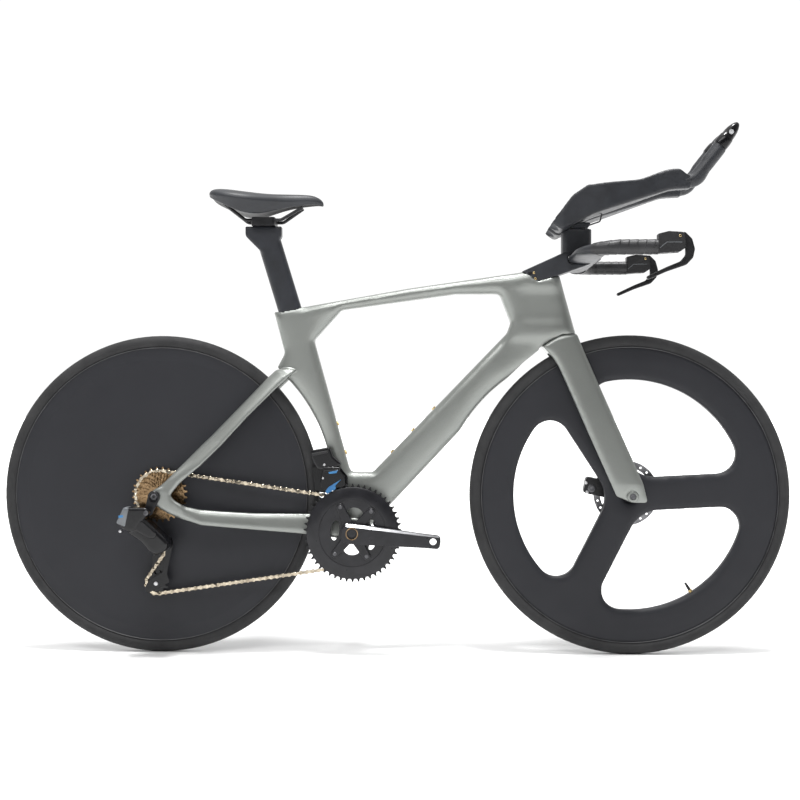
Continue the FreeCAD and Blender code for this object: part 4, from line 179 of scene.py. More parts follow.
def finish_piece(obj, body, slot, material, *replaced):
    mesh = obj.data
    if not mesh.materials:
        mesh.materials.append(material)
    mesh.polygons.foreach_set("use_smooth", [True] * len(mesh.polygons))
    mesh.set_sharp_from_angle(angle=SHARP)
    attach(obj, body)
    if replaced:
        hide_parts(*replaced)


def ring_faces(rings, size):
    """The faces between rings of points, closed at both ends."""
    faces = []
    for i in range(rings - 1):
        for k in range(size):
            n = (k + 1) % size
            faces.append((i * size + k, i * size + n, (i + 1) * size + n, (i + 1) * size + k))
    faces.append(tuple(reversed(range(size))))
    faces.append(tuple(range((rings - 1) * size, rings * size)))
    return faces


def section_point(angle, half_across, half_up, square):
    """A point of a section that is oval at a squareness of 2 and boxier above it."""
    c, s = math.cos(angle), math.sin(angle)
    across = math.copysign(abs(c) ** (2 / square), c) * half_across
    up = math.copysign(abs(s) ** (2 / square), s) * half_up
    return across, up


def sweep(name, stations):
    """A skin through sections. Each is (center, across, up, half across, half up, squareness)."""
    vertices = []
    for center, across, up, half_across, half_up, square in stations:
        for k in range(SWEEP_POINTS):
            angle = 2 * math.pi * k / SWEEP_POINTS
            x, z = section_point(angle, half_across, half_up, square)
            vertices.append(center + across * x + up * z)
    return add_mesh(name, vertices, ring_faces(len(stations), SWEEP_POINTS))


def round_sweep(name, start, axis, profile, square=2):
    """A piece along an axis from (place, radius) points in millimetres."""
    up = axis.cross(SIDEWAYS)
    stations = []
    for place, radius in profile:
        half = radius * MM
        stations.append((start + axis * (place * MM), SIDEWAYS, up, half, half, square))
    return sweep(name, stations)


def edge_sweep(name, edges, side, lean):
    """A skin between two edges of a side view, as the tables of the stays give them."""
    stations = []
    for upper, lower, out, half in edges:
        top = Vector((upper[0], 0, upper[1])) * MM
        low = Vector((lower[0], 0, lower[1])) * MM
        center = (top + low) / 2 + Vector((0, side * out * MM, 0))
        tilt = lean * float(ease(*LEAN_RANGE, center.x))
        across = (top - low).normalized() - Vector((0, side * tilt, 0))
        stations.append((center, across, SIDEWAYS, (top - low).length / 2, half * MM, STAY_SQUARE))
    return sweep(name, stations)


def plate(name, low, high, bevel, outline, holes=()):
    """A plate with round edges in the side plane. Millimetres, as (ahead, up) points."""
    curve = bpy.data.curves.new(name, "CURVE")
    curve.dimensions = "2D"
    curve.fill_mode = "BOTH"
    curve.extrude = ((high - low) / 2 - bevel) * MM
    curve.bevel_depth = bevel * MM
    curve.bevel_resolution = 2
    curve.offset = -bevel * MM
    for points in (outline, *holes):
        spline = curve.splines.new("POLY")
        spline.points.add(len(points) - 1)
        for point, (x, z) in zip(spline.points, points):
            point.co = (x * MM, z * MM, 0, 1)
        spline.use_cyclic_u = True
    drawn = put(name, curve)
    obj = put(name, evaluated_mesh(drawn))
    bpy.data.objects.remove(drawn)
    co = points_of(obj)
    middle = (low + high) / 2 * MM
    set_points(obj, np.stack([co[:, 0], middle - co[:, 2], co[:, 1]], axis=1))
    return obj


def round_corners(points, radius):
    """The outline with each corner eased by a short curve."""
    outline = []
    count = len(points)
    for i, (x, z) in enumerate(points):
        corner = Vector((x, z))
        ends = []
        for other in (points[i - 1], points[(i + 1) % count]):
            run = Vector(other) - corner
            ends.append(corner + run * min(radius / run.length, CORNER_SHARE))
        for step in range(CORNER_STEPS + 1):
            t = step / CORNER_STEPS
            point = ends[0] * (1 - t) ** 2 + corner * (2 * t * (1 - t)) + ends[1] * t ** 2
            outline.append((point.x, point.y))
    return outline


def soft_plate(name, low, high, bevel, corner, outline):
    """A plate with round corners."""
    return plate(name, low, high, bevel, round_corners(outline, corner))


def oval(center, radius, angle, half_around, half_out, count=OPENING_POINTS):
    """An oval opening at a radius and an angle from a center in the side plane, in millimetres."""
    turn = math.radians(angle)
    out = Vector((math.cos(turn), math.sin(turn)))
    around = Vector((-out.y, out.x))
    points = []
    for k in range(count):
        a = 2 * math.pi * k / count
        point = center + out * (radius + half_out * math.cos(a)) + around * (half_around * math.sin(a))
        points.append((point.x, point.y))
    return points


def circle(center, radius, count):
    return oval(center, 0, 0, radius, radius, count)


def polar(center, radius, angle):
    return oval(center, radius, angle, 0, 0, 1)[0]


def turned(name, center, profile, count=ROUND_POINTS):
    """A piece turned about a level cross axle from (radius, side) points in millimetres."""
    vertices = []
    for k in range(count):
        a = 2 * math.pi * k / count
        for radius, side in profile:
            vertices.append(center + Vector((radius * math.cos(a), side, radius * math.sin(a))) * MM)
    size = len(profile)
    faces = []
    for k in range(count):
        n = (k + 1) % count
        for i in range(size):
            j = (i + 1) % size
            faces.append((k * size + i, k * size + j, n * size + j, n * size + i))
    return add_mesh(name, vertices, faces)


def strap(first, first_radius, second, second_radius):
    """The outline of a link between two round ends, in millimetres."""
    run = math.atan2(second[1] - first[1], second[0] - first[0])
    ends = ((second, second_radius, run - math.pi / 2), (first, first_radius, run + math.pi / 2))
    points = []
    for (x, z), radius, start in ends:
        for step in range(STRAP_STEPS + 1):
            angle = start + math.pi * step / STRAP_STEPS
            points.append((x + radius * math.cos(angle), z + radius * math.sin(angle)))
    return points


def side_tree(*names):
    vertices, polygons = [], []
    for name in names:
        start = len(vertices)
        mesh = nodes[name].data
        vertices += [v.co.copy() for v in mesh.vertices]
        polygons += [[start + i for i in p.vertices] for p in mesh.polygons]
    return BVHTree.FromPolygons(vertices, polygons)


def skin(name, x, z):
    """Where a CAD node's right side lies at a place of the side view, all in millimetres."""
    hit = side_tree(name).ray_cast(Vector((x * MM, -1, z * MM)), SIDEWAYS)[0]
    return hit.y / MM


def join_into(obj, *others):
    shape = bmesh.new()
    for piece in (obj, *others):
        shape.from_mesh(piece.data)
    shape.to_mesh(obj.data)
    shape.free()
    for piece in others:
        bpy.data.objects.remove(piece)
    return obj


def ease(low, high, value):
    share = np.clip((value - low) / (high - low), 0, 1)
    return share * share * (3 - 2 * share)


# Moulded forms

GRID = 2 * MM
SWELL_ROUNDS = 1800
LAST_CELL = 1.001


class Swell:
    """How far each place of a side view lies inside its outline, as a smooth round swelling."""

    def __init__(self, names, low, high):
        self.low = low
        tree = side_tree(*names)
        self.count = [int((high[i] - low[i]) / GRID) + 1 for i in range(2)]
        mask = np.zeros(self.count, bool)
        for i in range(self.count[0]):
            for k in range(self.count[1]):
                start = Vector((low[0] + i * GRID, -1, low[1] + k * GRID))
                mask[i, k] = tree.ray_cast(start, SIDEWAYS)[0] is not None
        field = np.zeros(self.count)
        outside = ~mask
        for _ in range(SWELL_ROUNDS):
            around = field[:-2, 1:-1] + field[2:, 1:-1] + field[1:-1, :-2] + field[1:-1, 2:]
            field[1:-1, 1:-1] = (around + GRID * GRID) / 4
            field[outside] = 0
        self.depth = np.sqrt(2 * field)

    def at(self, x, z):
        i = np.clip((x - self.low[0]) / GRID, 0, self.count[0] - LAST_CELL)
        k = np.clip((z - self.low[1]) / GRID, 0, self.count[1] - LAST_CELL)
        i0, k0 = i.astype(int), k.astype(int)
        ahead, up = i - i0, k - k0
        d = self.depth
        return ((d[i0, k0] * (1 - ahead) + d[i0 + 1, k0] * ahead) * (1 - up)
                + (d[i0, k0 + 1] * (1 - ahead) + d[i0 + 1, k0 + 1] * ahead) * up)


def rounded(depth, radius):
    """From 0 at an edge to 1 well inside, like the side of an ellipse."""
    share = depth / radius
    return share / (1 + share ** 4) ** 0.25


# Materials

WEAVE_TURN = math.radians(45)
TREAD_AROUND = 420.0
TREAD_ACROSS = 260.0


def add_node(tree, kind, **values):
    """A new shader node with some inputs set. Underscores stand for the spaces in their names."""
    node = tree.nodes.new("ShaderNode" + kind)
    for name, value in values.items():
        node.inputs[name.replace("_", " ")].default_value = value
    return node


def shader(name, color, rough, metal=0.0, coat=0.0, coat_rough=0.1, spec=0.5):
    material = bpy.data.materials.new(name)
    material.use_nodes = True
    tree = material.node_tree
    base = tree.nodes["Principled BSDF"]
    values = {"Base Color": (*color, 1), "Roughness": rough, "Metallic": metal, "Coat Weight": coat,
              "Coat Roughness": coat_rough, "Specular IOR Level": spec}
    for socket, value in values.items():
        base.inputs[socket].default_value = value
    return material, tree, base


def place_node(tree, scale=(1, 1, 1), turn=(0, 0, 0)):
    place = add_node(tree, "TexCoord")
    mapping = add_node(tree, "Mapping", Scale=scale, Rotation=turn)
    tree.links.new(place.outputs["Object"], mapping.inputs["Vector"])
    return mapping.outputs["Vector"]


def axes_of(tree, vector):
    parts = add_node(tree, "SeparateXYZ")
    tree.links.new(vector, parts.inputs["Vector"])
    return parts.outputs


def noise(tree, scale, detail, stretch=(1, 1, 1)):
    node = add_node(tree, "TexNoise", Scale=scale, Detail=detail)
    tree.links.new(place_node(tree, stretch), node.inputs["Vector"])
    return node.outputs["Fac"]


def map_range(tree, value, low, high, start=0.0, end=1.0):
    """Turns values from start to end into values from low to high."""
    node = add_node(tree, "MapRange", From_Min=start, From_Max=end, To_Min=low, To_Max=high)
    tree.links.new(value, node.inputs["Value"])
    return node.outputs["Result"]


def math_node(tree, kind, a, b):
    node = add_node(tree, "Math")
    node.operation = kind
    for socket, value in zip(node.inputs, (a, b)):
        if isinstance(value, (int, float)):
            socket.default_value = value
        else:
            tree.links.new(value, socket)
    return node.outputs["Value"]


def bump(tree, base, height, strength, distance):
    node = add_node(tree, "Bump", Strength=strength, Distance=distance)
    tree.links.new(height, node.inputs["Height"])
    tree.links.new(node.outputs["Normal"], base.inputs["Normal"])


def tint(tree, base, fac, low, high, start=0.3, end=0.7):
    """Runs the base color from one color to another."""
    node = add_node(tree, "ValToRGB")
    for element, position, color in zip(node.color_ramp.elements, (start, end), (low, high)):
        element.position = position
        element.color = (*color, 1)
    tree.links.new(fac, node.inputs["Fac"])
    tree.links.new(node.outputs["Color"], base.inputs["Base Color"])


def vary_rough(tree, base, fac, low, high):
    tree.links.new(map_range(tree, fac, low, high), base.inputs["Roughness"])


def paint_material():
    """Cement grey paint with fine metal flake under a satin lacquer."""
    material, tree, base = shader("frame_paint", (0.3, 0.315, 0.3), 0.38, 0.7, coat=0.3, coat_rough=0.15)
    tint(tree, base, noise(tree, 2600, 2), (0.225, 0.236, 0.223), (0.29, 0.303, 0.286))
    vary_rough(tree, base, noise(tree, 60, 4), 0.32, 0.42)
    bump(tree, base, noise(tree, 320, 2), strength=0.05, distance=0.2 * MM)
    return material


def weave(tree, pitch):
    """Crossing threads, alternately over and under."""
    parts = axes_of(tree, place_node(tree, (1, 0, 1), (0, WEAVE_TURN, 0)))
    rate = 2 * math.pi / pitch
    waves = []
    for axis in ("X", "Z"):
        angle = math_node(tree, "MULTIPLY", parts[axis], rate)
        waves.append(math_node(tree, "SINE", angle, 0.0))
    return math_node(tree, "ADD", math_node(tree, "MULTIPLY", *waves), 0.5)


def carbon_material(name, dark, light, rough, pitch):
    """Woven carbon under a matt lacquer."""
    material, tree, base = shader(name, dark, rough, coat_rough=0.35, spec=0.3)
    threads = weave(tree, pitch)
    halves = [math_node(tree, "MULTIPLY", part, 0.5) for part in (threads, noise(tree, 9, 3))]
    tint(tree, base, math_node(tree, "ADD", *halves), dark, light, 0.2, 0.8)
    vary_rough(tree, base, noise(tree, 30, 4), rough - 0.06, rough + 0.08)
    bump(tree, base, threads, strength=0.12, distance=0.15 * MM)
    return material


def satin_material(name, dark, light, rough, grain=500, depth=0.1, metal=0.0, coat=0.0, spec=0.5):
    material, tree, base = shader(name, dark, rough, metal, coat, 0.12, spec)
    tint(tree, base, noise(tree, 40, 5), dark, light)
    vary_rough(tree, base, noise(tree, 90, 4), rough - 0.07, rough + 0.08)
    bump(tree, base, noise(tree, grain, 2), depth, 0.2 * MM)
    return material


def metal_material(name, dark, light, rough, scratch=(1, 1, 30)):
    """Bare or coated metal with fine brushing and stains."""
    material, tree, base = shader(name, light, rough, metal=1.0)
    tint(tree, base, noise(tree, 120, 4), dark, light)
    vary_rough(tree, base, noise(tree, 300, 3, scratch), rough - 0.08, rough + 0.12)
    bump(tree, base, noise(tree, 700, 2, scratch), strength=0.06, distance=0.1 * MM)
    return material


def tyre_material(name, center):
    """Rubber with a slanting file tread."""
    material, tree, base = shader(name, (0.02, 0.02, 0.021), 0.7, spec=0.35)
    place = add_node(tree, "TexCoord")
    shift = add_node(tree, "VectorMath")
    shift.operation = "SUBTRACT"
    shift.inputs[1].default_value = center
    tree.links.new(place.outputs["Object"], shift.inputs[0])
    parts = axes_of(tree, shift.outputs["Vector"])
    around = math_node(tree, "ARCTAN2", parts["Z"], parts["X"])
    across = math_node(tree, "MULTIPLY", parts["Y"], TREAD_ACROSS)
    slant = math_node(tree, "ADD", math_node(tree, "MULTIPLY", around, TREAD_AROUND), across)
    tread = math_node(tree, "SINE", slant, 0.0)
    tint(tree, base, noise(tree, 25, 5), (0.018, 0.018, 0.019), (0.03, 0.03, 0.031))
    vary_rough(tree, base, noise(tree, 80, 4), 0.6, 0.82)
    rubber = math_node(tree, "ADD", math_node(tree, "MULTIPLY", tread, 0.5), noise(tree, 900, 2))
    bump(tree, base, rubber, strength=0.18, distance=0.2 * MM)
    return material


def leather_material(name):
    """A close-grained synthetic cover."""
    material, tree, base = shader(name, (0.016, 0.016, 0.018), 0.48, coat=0.05, coat_rough=0.3)
    cells = add_node(tree, "TexVoronoi", Scale=620)
    tree.links.new(place_node(tree), cells.inputs["Vector"])
    tint(tree, base, noise(tree, 30, 5), (0.011, 0.012, 0.015), (0.021, 0.0235, 0.029))
    vary_rough(tree, base, noise(tree, 60, 4), 0.4, 0.58)
    bump(tree, base, cells.outputs["Distance"], strength=0.25, distance=0.25 * MM)
    return material


def fabric_material(name):
    """Foam under a knitted black cloth."""
    material, tree, base = shader(name, (0.014, 0.014, 0.015), 0.9, spec=0.2)
    base.inputs["Sheen Weight"].default_value = 0.35
    base.inputs["Sheen Roughness"].default_value = 0.4
    tint(tree, base, noise(tree, 50, 5), (0.010, 0.010, 0.011), (0.022, 0.022, 0.024))
    bump(tree, base, weave(tree, 1.6 * MM), strength=0.5, distance=0.35 * MM)
    return material


def black_gloss(name, rough, coat, spec):
    dark, light = (0.003, 0.003, 0.004), (0.006, 0.006, 0.007)
    return satin_material(name, dark, light, rough, grain=400, depth=0.03, coat=coat, spec=spec)


paint = paint_material()
wheel_carbon = carbon_material("wheel_carbon", (0.013, 0.0135, 0.0165), (0.022, 0.0225, 0.027), 0.5, 3 * MM)
bar_carbon = satin_material("bar_carbon", (0.0105, 0.0115, 0.0145), (0.018, 0.02, 0.025), 0.44, 900, 0.12)
post_carbon = satin_material("post_carbon", (0.010, 0.011, 0.014), (0.017, 0.019, 0.025), 0.4)
rear_rubber = tyre_material("rear_rubber", REAR_AXLE)
front_rubber = tyre_material("front_rubber", FRONT_AXLE)
black_alloy = satin_material("black_alloy", (0.010, 0.010, 0.011), (0.022, 0.022, 0.024), 0.36, 900, 0.08,
                             metal=0.5)
gloss_black = black_gloss("gloss_black", 0.2, coat=0.12, spec=0.25)
derailleur_black = black_gloss("derailleur_black", 0.22, coat=0.15, spec=0.3)
black_plastic = satin_material("black_plastic", (0.008, 0.008, 0.009), (0.014, 0.014, 0.015), 0.45, 700, 0.2)
gold = metal_material("gold_steel", (0.12, 0.075, 0.038), (0.4, 0.27, 0.15), 0.24)
chain_gold = metal_material("chain_gold", (0.24, 0.2, 0.15), (0.62, 0.55, 0.43), 0.2)
steel = metal_material("bright_steel", (0.42, 0.42, 0.43), (0.66, 0.66, 0.67), 0.32)
rotor_steel = metal_material("rotor_steel", (0.16, 0.16, 0.17), (0.3, 0.3, 0.31), 0.36)
dark_steel = metal_material("dark_steel", (0.08, 0.08, 0.085), (0.17, 0.17, 0.18), 0.4)
brass = metal_material("brass_screw", (0.55, 0.38, 0.16), (0.78, 0.6, 0.3), 0.3)
grey_plastic = satin_material("grey_plastic", (0.11, 0.12, 0.13), (0.17, 0.18, 0.19), 0.4, 600, 0.1)
silver_plastic = satin_material("silver_plastic", (0.42, 0.43, 0.44), (0.6, 0.61, 0.62), 0.35, 600, 0.06,
                                metal=0.4)
facet_silver = satin_material("facet_silver", (0.2, 0.2, 0.21), (0.3, 0.3, 0.31), 0.3, 600, 0.05, metal=0.6)
blue_film = satin_material("blue_film", (0.02, 0.12, 0.3), (0.04, 0.2, 0.42), 0.3, 500, 0.08)
leather = leather_material("saddle_leather")
pad_cloth = fabric_material("pad_cloth")
crank_black = satin_material("crank_black", (0.009, 0.009, 0.011), (0.017, 0.017, 0.02), 0.3, 600, 0.05,
                             metal=0.1, coat=0.1, spec=0.35)
seam_grey = satin_material("seam_grey", (0.03, 0.03, 0.032), (0.06, 0.06, 0.064), 0.35)
tape = satin_material("bar_tape", (0.012, 0.012, 0.013), (0.024, 0.024, 0.026), 0.4, 1200, 0.35)


# Frame and fork

TUBE_VOXEL = 2.4 * MM
JOINED_VOXEL = 1.9 * MM
FORK_VOXEL = 2 * MM
WEDGE_VOXEL = 1 * MM
TOP_TUBE_RADIUS = 15 * MM
TUBE_RADIUS = 30 * MM
FORK_RADIUS = 26 * MM
EDGE_SHARE = 0.34
# Places where the tube sections change, each from its start to its end
TOP_TUBE_LOW = (0.70, 0.735)
TOP_TUBE_REAR = (-0.21, -0.15)
TOP_TUBE_FRONT = (0.20, 0.25)
PANEL_REAR = (0.235, 0.285)
PANEL_LOW = (0.692, 0.722)
PANEL_HIGH = (0.762, 0.79)
PANEL_DEPTH = 0.17
SHOULDER_REAR = (0.19, 0.25)
SHOULDER_LOW = (0.56, 0.65)
SHOULDER_HIGH = (0.664, 0.674)
SHOULDER_DEPTH = 0.13
DROPOUT_FRONT = (-0.44, -0.40)
SOFT_TOP = (0.7, 0.72)
FORK_RISE = (0.339, 0.62)
FORK_TIP_SIDE = 54 * MM
FORK_CROWN_SIDE = 31 * MM
FORK_EDGE = 7 * MM
# The top of the seat wedge: its height at a place of the top tube, and its slope
WEDGE_PLACE = -0.2
WEDGE_TOP = 0.7345
WEDGE_SLOPE = 0.18
STAY_SQUARE = 2.5
SEAT_STAY_LEAN = 0.5
CHAIN_STAY_LEAN = 0.2
LEAN_RANGE = (-470 * MM, -410 * MM)
# Stays in millimetres: a point on the upper edge, one on the lower edge, the middle's distance out
# and half the width
SEAT_STAY = (
    ((-500, 350), (-464, 343), 73, 6),
    ((-470, 379), (-447, 365), 68.5, 6.5),
    ((-429, 422), (-405, 402), 59.5, 7),
    ((-384, 466), (-360, 447), 50.5, 7.2),
    ((-330, 523), (-305, 508), 40.5, 7.2),
    ((-296, 559), (-271, 542), 34, 7.2),
    ((-268, 589), (-244, 570), 28.5, 7.2),
    ((-252, 604), (-228, 585), 25.5, 7.2),
    ((-240, 607.5), (-220, 592), 24, 7),
    ((-226, 607.5), (-214, 597), 23, 6),
    ((-216, 606), (-210.5, 600.5), 22, 4.5),
    ((-211, 604), (-209.5, 602.5), 21.5, 2),
)
CHAIN_STAY = (
    ((-470, 345), (-503, 322), 73, 6),
    ((-455, 329), (-472, 302), 72.5, 6.8),
    ((-436, 318), (-442, 290), 70, 7.2),
    ((-405, 310), (-402, 278), 65, 7.5),
    ((-361, 306), (-356, 273), 56.5, 7.5),
    ((-294, 301), (-290, 266), 43, 7.5),
    ((-240, 300), (-238, 261), 34, 7.2),
    ((-178, 299), (-180, 256), 28.5, 7),
    ((-108, 292), (-110, 247), 28, 7),
)
# Side of the rear dropout in millimetres, from the axle up the seat stay and round to the chain stay
DROPOUT = ((-512, 341), (-506, 350), (-490, 360), (-470, 353), (-467, 341),
           (-457, 330), (-438, 319), (-440, 293), (-470, 304), (-494, 317), (-508, 329))
DROPOUT_SIDES = (67, 79)
DROPOUT_EDGE = 4
DROPOUT_CORNER = 8
# Rear edge of the fork in millimetres, from the waist up to the crown, as (up, ahead) points
FORK_REAR = ((528, 382), (583, 357), (608, 349), (626, 338), (636, 330), (654, 314))
# Underside of the down tube by the fork crown in millimetres, as (ahead, up) points
UNDERSIDE = ((178.5, 512.6), (227.3, 574.3), (274.0, 620.0), (312.2, 650.8), (335.5, 665.6))
# The room in which the fork crown turns, as distances from the foot of the steering axis
STEER_FOOT = np.array((0.452746, 0, 0.326173))
STEER_UP = np.array((-0.267238, 0, 0.963630))
CROWN_TOP = 368.4 * MM
CROWN_LOW = 290 * MM
CROWN_FLAT = 17 * MM
CROWN_SLOPE = 16 / 36
CROWN_REACH = 59 * MM
CROWN_GAP = 1.2 * MM
STEERER_ROOM = 17.4 * MM
FORK_BOSS = ((12.5, -55), (11, -58.4), (9, -59.2), (7, -59), (6.4, -57.6), (6.4, -54))

side_swell = Swell(("main_frame", "stem", "fork", "seat_post", "seat_stay_right", "chain_stay_right"),
                   (-0.30, 0.22), (0.56, 0.86))


def stays():
    """The stays with round upper ends, and the webs that join them at the axle."""
    pieces = []
    for side, _ in SIDES:
        pieces.append(edge_sweep("seat_stay", SEAT_STAY, side, SEAT_STAY_LEAN))
        pieces.append(edge_sweep("chain_stay", CHAIN_STAY, side, CHAIN_STAY_LEAN))
        low, high = sorted(side * distance for distance in DROPOUT_SIDES)
        pieces.append(soft_plate("dropout", low, high, DROPOUT_EDGE, DROPOUT_CORNER, DROPOUT))
    return join_into(*pieces)


def by_steering_axis(co):
    """The heights of points along the steering axis, their offsets from it and their distances."""
    offset = co - STEER_FOOT
    height = offset @ STEER_UP
    level = offset - height[:, None] * STEER_UP
    return height, level, np.linalg.norm(level, axis=1)


def clear_crown(co):
    """Keeps the room of the turning fork crown free: points in its way go up or outwards."""
    height, level, reach = by_steering_axis(co)
    roof = CROWN_TOP - np.maximum(reach - CROWN_FLAT, 0) * CROWN_SLOPE
    inside = (reach < CROWN_REACH) & (height < roof) & (height > CROWN_LOW)
    rise = np.where(inside, roof - height, 0)
    push = np.where(inside, CROWN_REACH - reach, 0)
    upward = rise < push
    co += np.where(upward, rise, 0)[:, None] * STEER_UP
    co += np.where(upward, 0, push / np.maximum(reach, MM))[:, None] * level
    bore = (reach < STEERER_ROOM) & (height > CROWN_LOW)
    co[bore] += level[bore] * (STEERER_ROOM / np.maximum(reach[bore], MM) - 1)[:, None]


def lower_crown(co):
    """Keeps the fork crown just under the head tube."""
    height, _, reach = by_steering_axis(co)
    roof = CROWN_TOP - CROWN_GAP - np.maximum(reach - CROWN_FLAT, 0) * CROWN_SLOPE
    drop = np.where(reach > STEERER_ROOM, np.maximum(height - roof, 0), 0)
    co -= drop[:, None] * STEER_UP


def moulded_frame():
    """The main frame with swelling tubes, run together with its stays."""
    tubes = node_skin("frame_shell", "main_frame", TUBE_VOXEL)
    co = points_of(tubes)
    x, z = co[:, 0], co[:, 2]
    top = ease(*TOP_TUBE_LOW, z) * ease(*TOP_TUBE_REAR, x) * (1 - ease(*TOP_TUBE_FRONT, x))
    radius = TUBE_RADIUS + (TOP_TUBE_RADIUS - TUBE_RADIUS) * top
    share = EDGE_SHARE + (1 - EDGE_SHARE) * rounded(side_swell.at(x, z), radius)
    panel = ease(*PANEL_REAR, x) * ease(*PANEL_LOW, z) * (1 - ease(*PANEL_HIGH, z))
    shoulder = ease(*SHOULDER_REAR, x) * (1 - ease(*SHOULDER_HIGH, z)) * ease(*SHOULDER_LOW, z)
    share *= 1 - PANEL_DEPTH * panel - SHOULDER_DEPTH * shoulder
    co[:, 1] *= share
    set_points(tubes, co)
    relax(tubes, rounds=30, back=False, axes=ACROSS_ONLY)
    join_into(tubes, stays())
    remesh(tubes, JOINED_VOXEL)
    relax(tubes, rounds=10)
    co = points_of(tubes)
    rear = 1 - ease(*DROPOUT_FRONT, co[:, 0])
    relax(tubes, rounds=16, back=False, weight=rear)
    relax(tubes, rounds=30, weight=ease(*SOFT_TOP, co[:, 2]))
    co = points_of(tubes)
    ahead, up = np.array(UNDERSIDE).T * MM
    near = (co[:, 0] > ahead[0]) & (co[:, 0] < ahead[-1])
    co[near, 2] = np.maximum(co[near, 2], np.interp(co[near, 0], ahead, up))
    clear_crown(co)
    set_points(tubes, co)
    finish_piece(tubes, "frame", "frame_paint", paint, "main_frame", "chain_stay_right", "chain_stay_left",
                 "seat_stay_right", "seat_stay_left")


def moulded_fork():
    """The fork with round blades and a crown that clears the frame, and the boss round its axle."""
    blades = node_skin("fork_shell", "fork", FORK_VOXEL)
    co = points_of(blades)
    swell = rounded(side_swell.at(co[:, 0], co[:, 2]), FORK_RADIUS)
    height, edge = np.array(FORK_REAR).T * MM
    crown = (co[:, 2] > height[0]) & (co[:, 2] < height[-1])
    co[crown, 0] = np.maximum(co[crown, 0], np.interp(co[crown, 2], height, edge))
    middle = FORK_TIP_SIDE + (FORK_CROWN_SIDE - FORK_TIP_SIDE) * ease(*FORK_RISE, co[:, 2])
    outside = np.abs(co[:, 1]) > middle
    co[outside, 1] -= np.sign(co[outside, 1]) * (1 - swell[outside]) * FORK_EDGE
    set_points(blades, co)
    relax(blades, rounds=12, back=False, axes=ACROSS_ONLY)
    relax(blades, rounds=4, back=False)
    relax(blades, rounds=8)
    co = points_of(blades)
    lower_crown(co)
    set_points(blades, co)
    boss = turned("fork_boss", FRONT_AXLE, FORK_BOSS)
    finish_piece(boss, "steering", "frame_paint", paint)
    finish_piece(blades, "steering", "frame_paint", paint, "fork")


def seat_wedge():
    """The wedge, flush with the top tube."""
    wedge = node_skin("wedge_shell", "seat_wedge", WEDGE_VOXEL)
    co = points_of(wedge)
    co[:, 2] = np.minimum(co[:, 2], WEDGE_TOP + WEDGE_SLOPE * (co[:, 0] - WEDGE_PLACE))
    set_points(wedge, co)
    finish_piece(wedge, "frame", "black_alloy", black_alloy, "seat_wedge")


moulded_frame()
moulded_fork()
seat_wedge()


# Cockpit

BAR_BEND = 50 * MM
BAR_REACH = 124 * MM
BAR_LIFT = 3.5 * MM
WING_STEPS = 6
BEND_STEPS = 16
GRIP_STEPS = 5
# Depth and height of the bar in the middle and at the grips, in millimetres
WING_SECTION = (64, 20)
GRIP_SECTION = (24, 27)
BAR_SQUARE = 2.4
TAPE_START = math.radians(34)
TAPE_THICKNESS = 1.1 * MM
TAPE_PITCH = 17 * MM
TAPE_LIP = 0.75 * MM
TAPE_LIP_POWER = 1.5
TAPE_RINGS = 150
TAPE_POINTS = 48
TINY = 1e-9


def bar_line():
    """The middle of the bar's left half, as (ahead, out, turn) points."""
    straight = BAR_HALF - BAR_BEND
    line = [(0.0, straight * step / WING_STEPS, 0.0) for step in range(WING_STEPS)]
    for step in range(BEND_STEPS + 1):
        angle = math.pi / 2 * step / BEND_STEPS
        line.append((BAR_BEND * (1 - math.cos(angle)), straight + BAR_BEND * math.sin(angle), angle))
    for step in range(1, GRIP_STEPS + 1):
        line.append((BAR_BEND + (BAR_REACH - BAR_BEND) * step / GRIP_STEPS, BAR_HALF, math.pi / 2))
    return line


def bar_section(ahead, out, angle, grow=0):
    share = angle / (math.pi / 2)
    center = WING + Vector((ahead, out, BAR_LIFT * share))
    across = Vector((math.cos(angle), -math.sin(angle), 0))
    halves = []
    for wing, grip in zip(WING_SECTION, GRIP_SECTION):
        halves.append((wing + (grip - wing) * share) / 2 * MM + grow)
    return center, across, UPWARD, *halves, BAR_SQUARE


def base_bar():
    """The wing with its two grips."""
    left = [bar_section(*place) for place in bar_line()]
    right = []
    for center, across, *rest in left[:0:-1]:
        right.append((Vector((center.x, -center.y, center.z)), Vector((across.x, -across.y, 0)), *rest))
    finish_piece(sweep("base_bar_shell", right + left), "steering", "carbon_skin", bar_carbon, "base_bar")


def tape_sections():
    """Close sections along a grip, each with its distance from the start of the tape."""
    coarse = []
    length = 0.0
    for place in bar_line():
        if place[2] < TAPE_START:
            continue
        section = bar_section(*place, TAPE_THICKNESS)
        if coarse:
            length += (section[0] - coarse[-1][1][0]).length
        coarse.append((length, section))
    fine = []
    for step in range(TAPE_RINGS + 1):
        at = length * step / TAPE_RINGS
        index = max(i for i, (start, _) in enumerate(coarse) if start <= at + TINY)
        index = min(index, len(coarse) - 2)
        (start, first), (end, second) = coarse[index:index + 2]
        mix = (at - start) / (end - start)
        fine.append((at, [p + (q - p) * mix for p, q in zip(first, second)]))
    return fine


def bar_tape():
    """Tape wound round each grip, with a lip at each turn."""
    sections = tape_sections()
    for side, name in SIDES:
        vertices = []
        for at, (center, across, up, half_across, half_up, square) in sections:
            for k in range(TAPE_POINTS):
                turn = k / TAPE_POINTS
                lip = TAPE_LIP * ((at / TAPE_PITCH + turn) % 1.0) ** TAPE_LIP_POWER
                x, z = section_point(2 * math.pi * turn, half_across + lip, half_up + lip, square)
                point = center + across.normalized() * x + up * z
                vertices.append((point.x, point.y * side, point.z))
        wrap = add_mesh("bar_tape_" + name, vertices, ring_faces(len(sections), TAPE_POINTS))
        finish_piece(wrap, "steering", "black_plastic", tape)


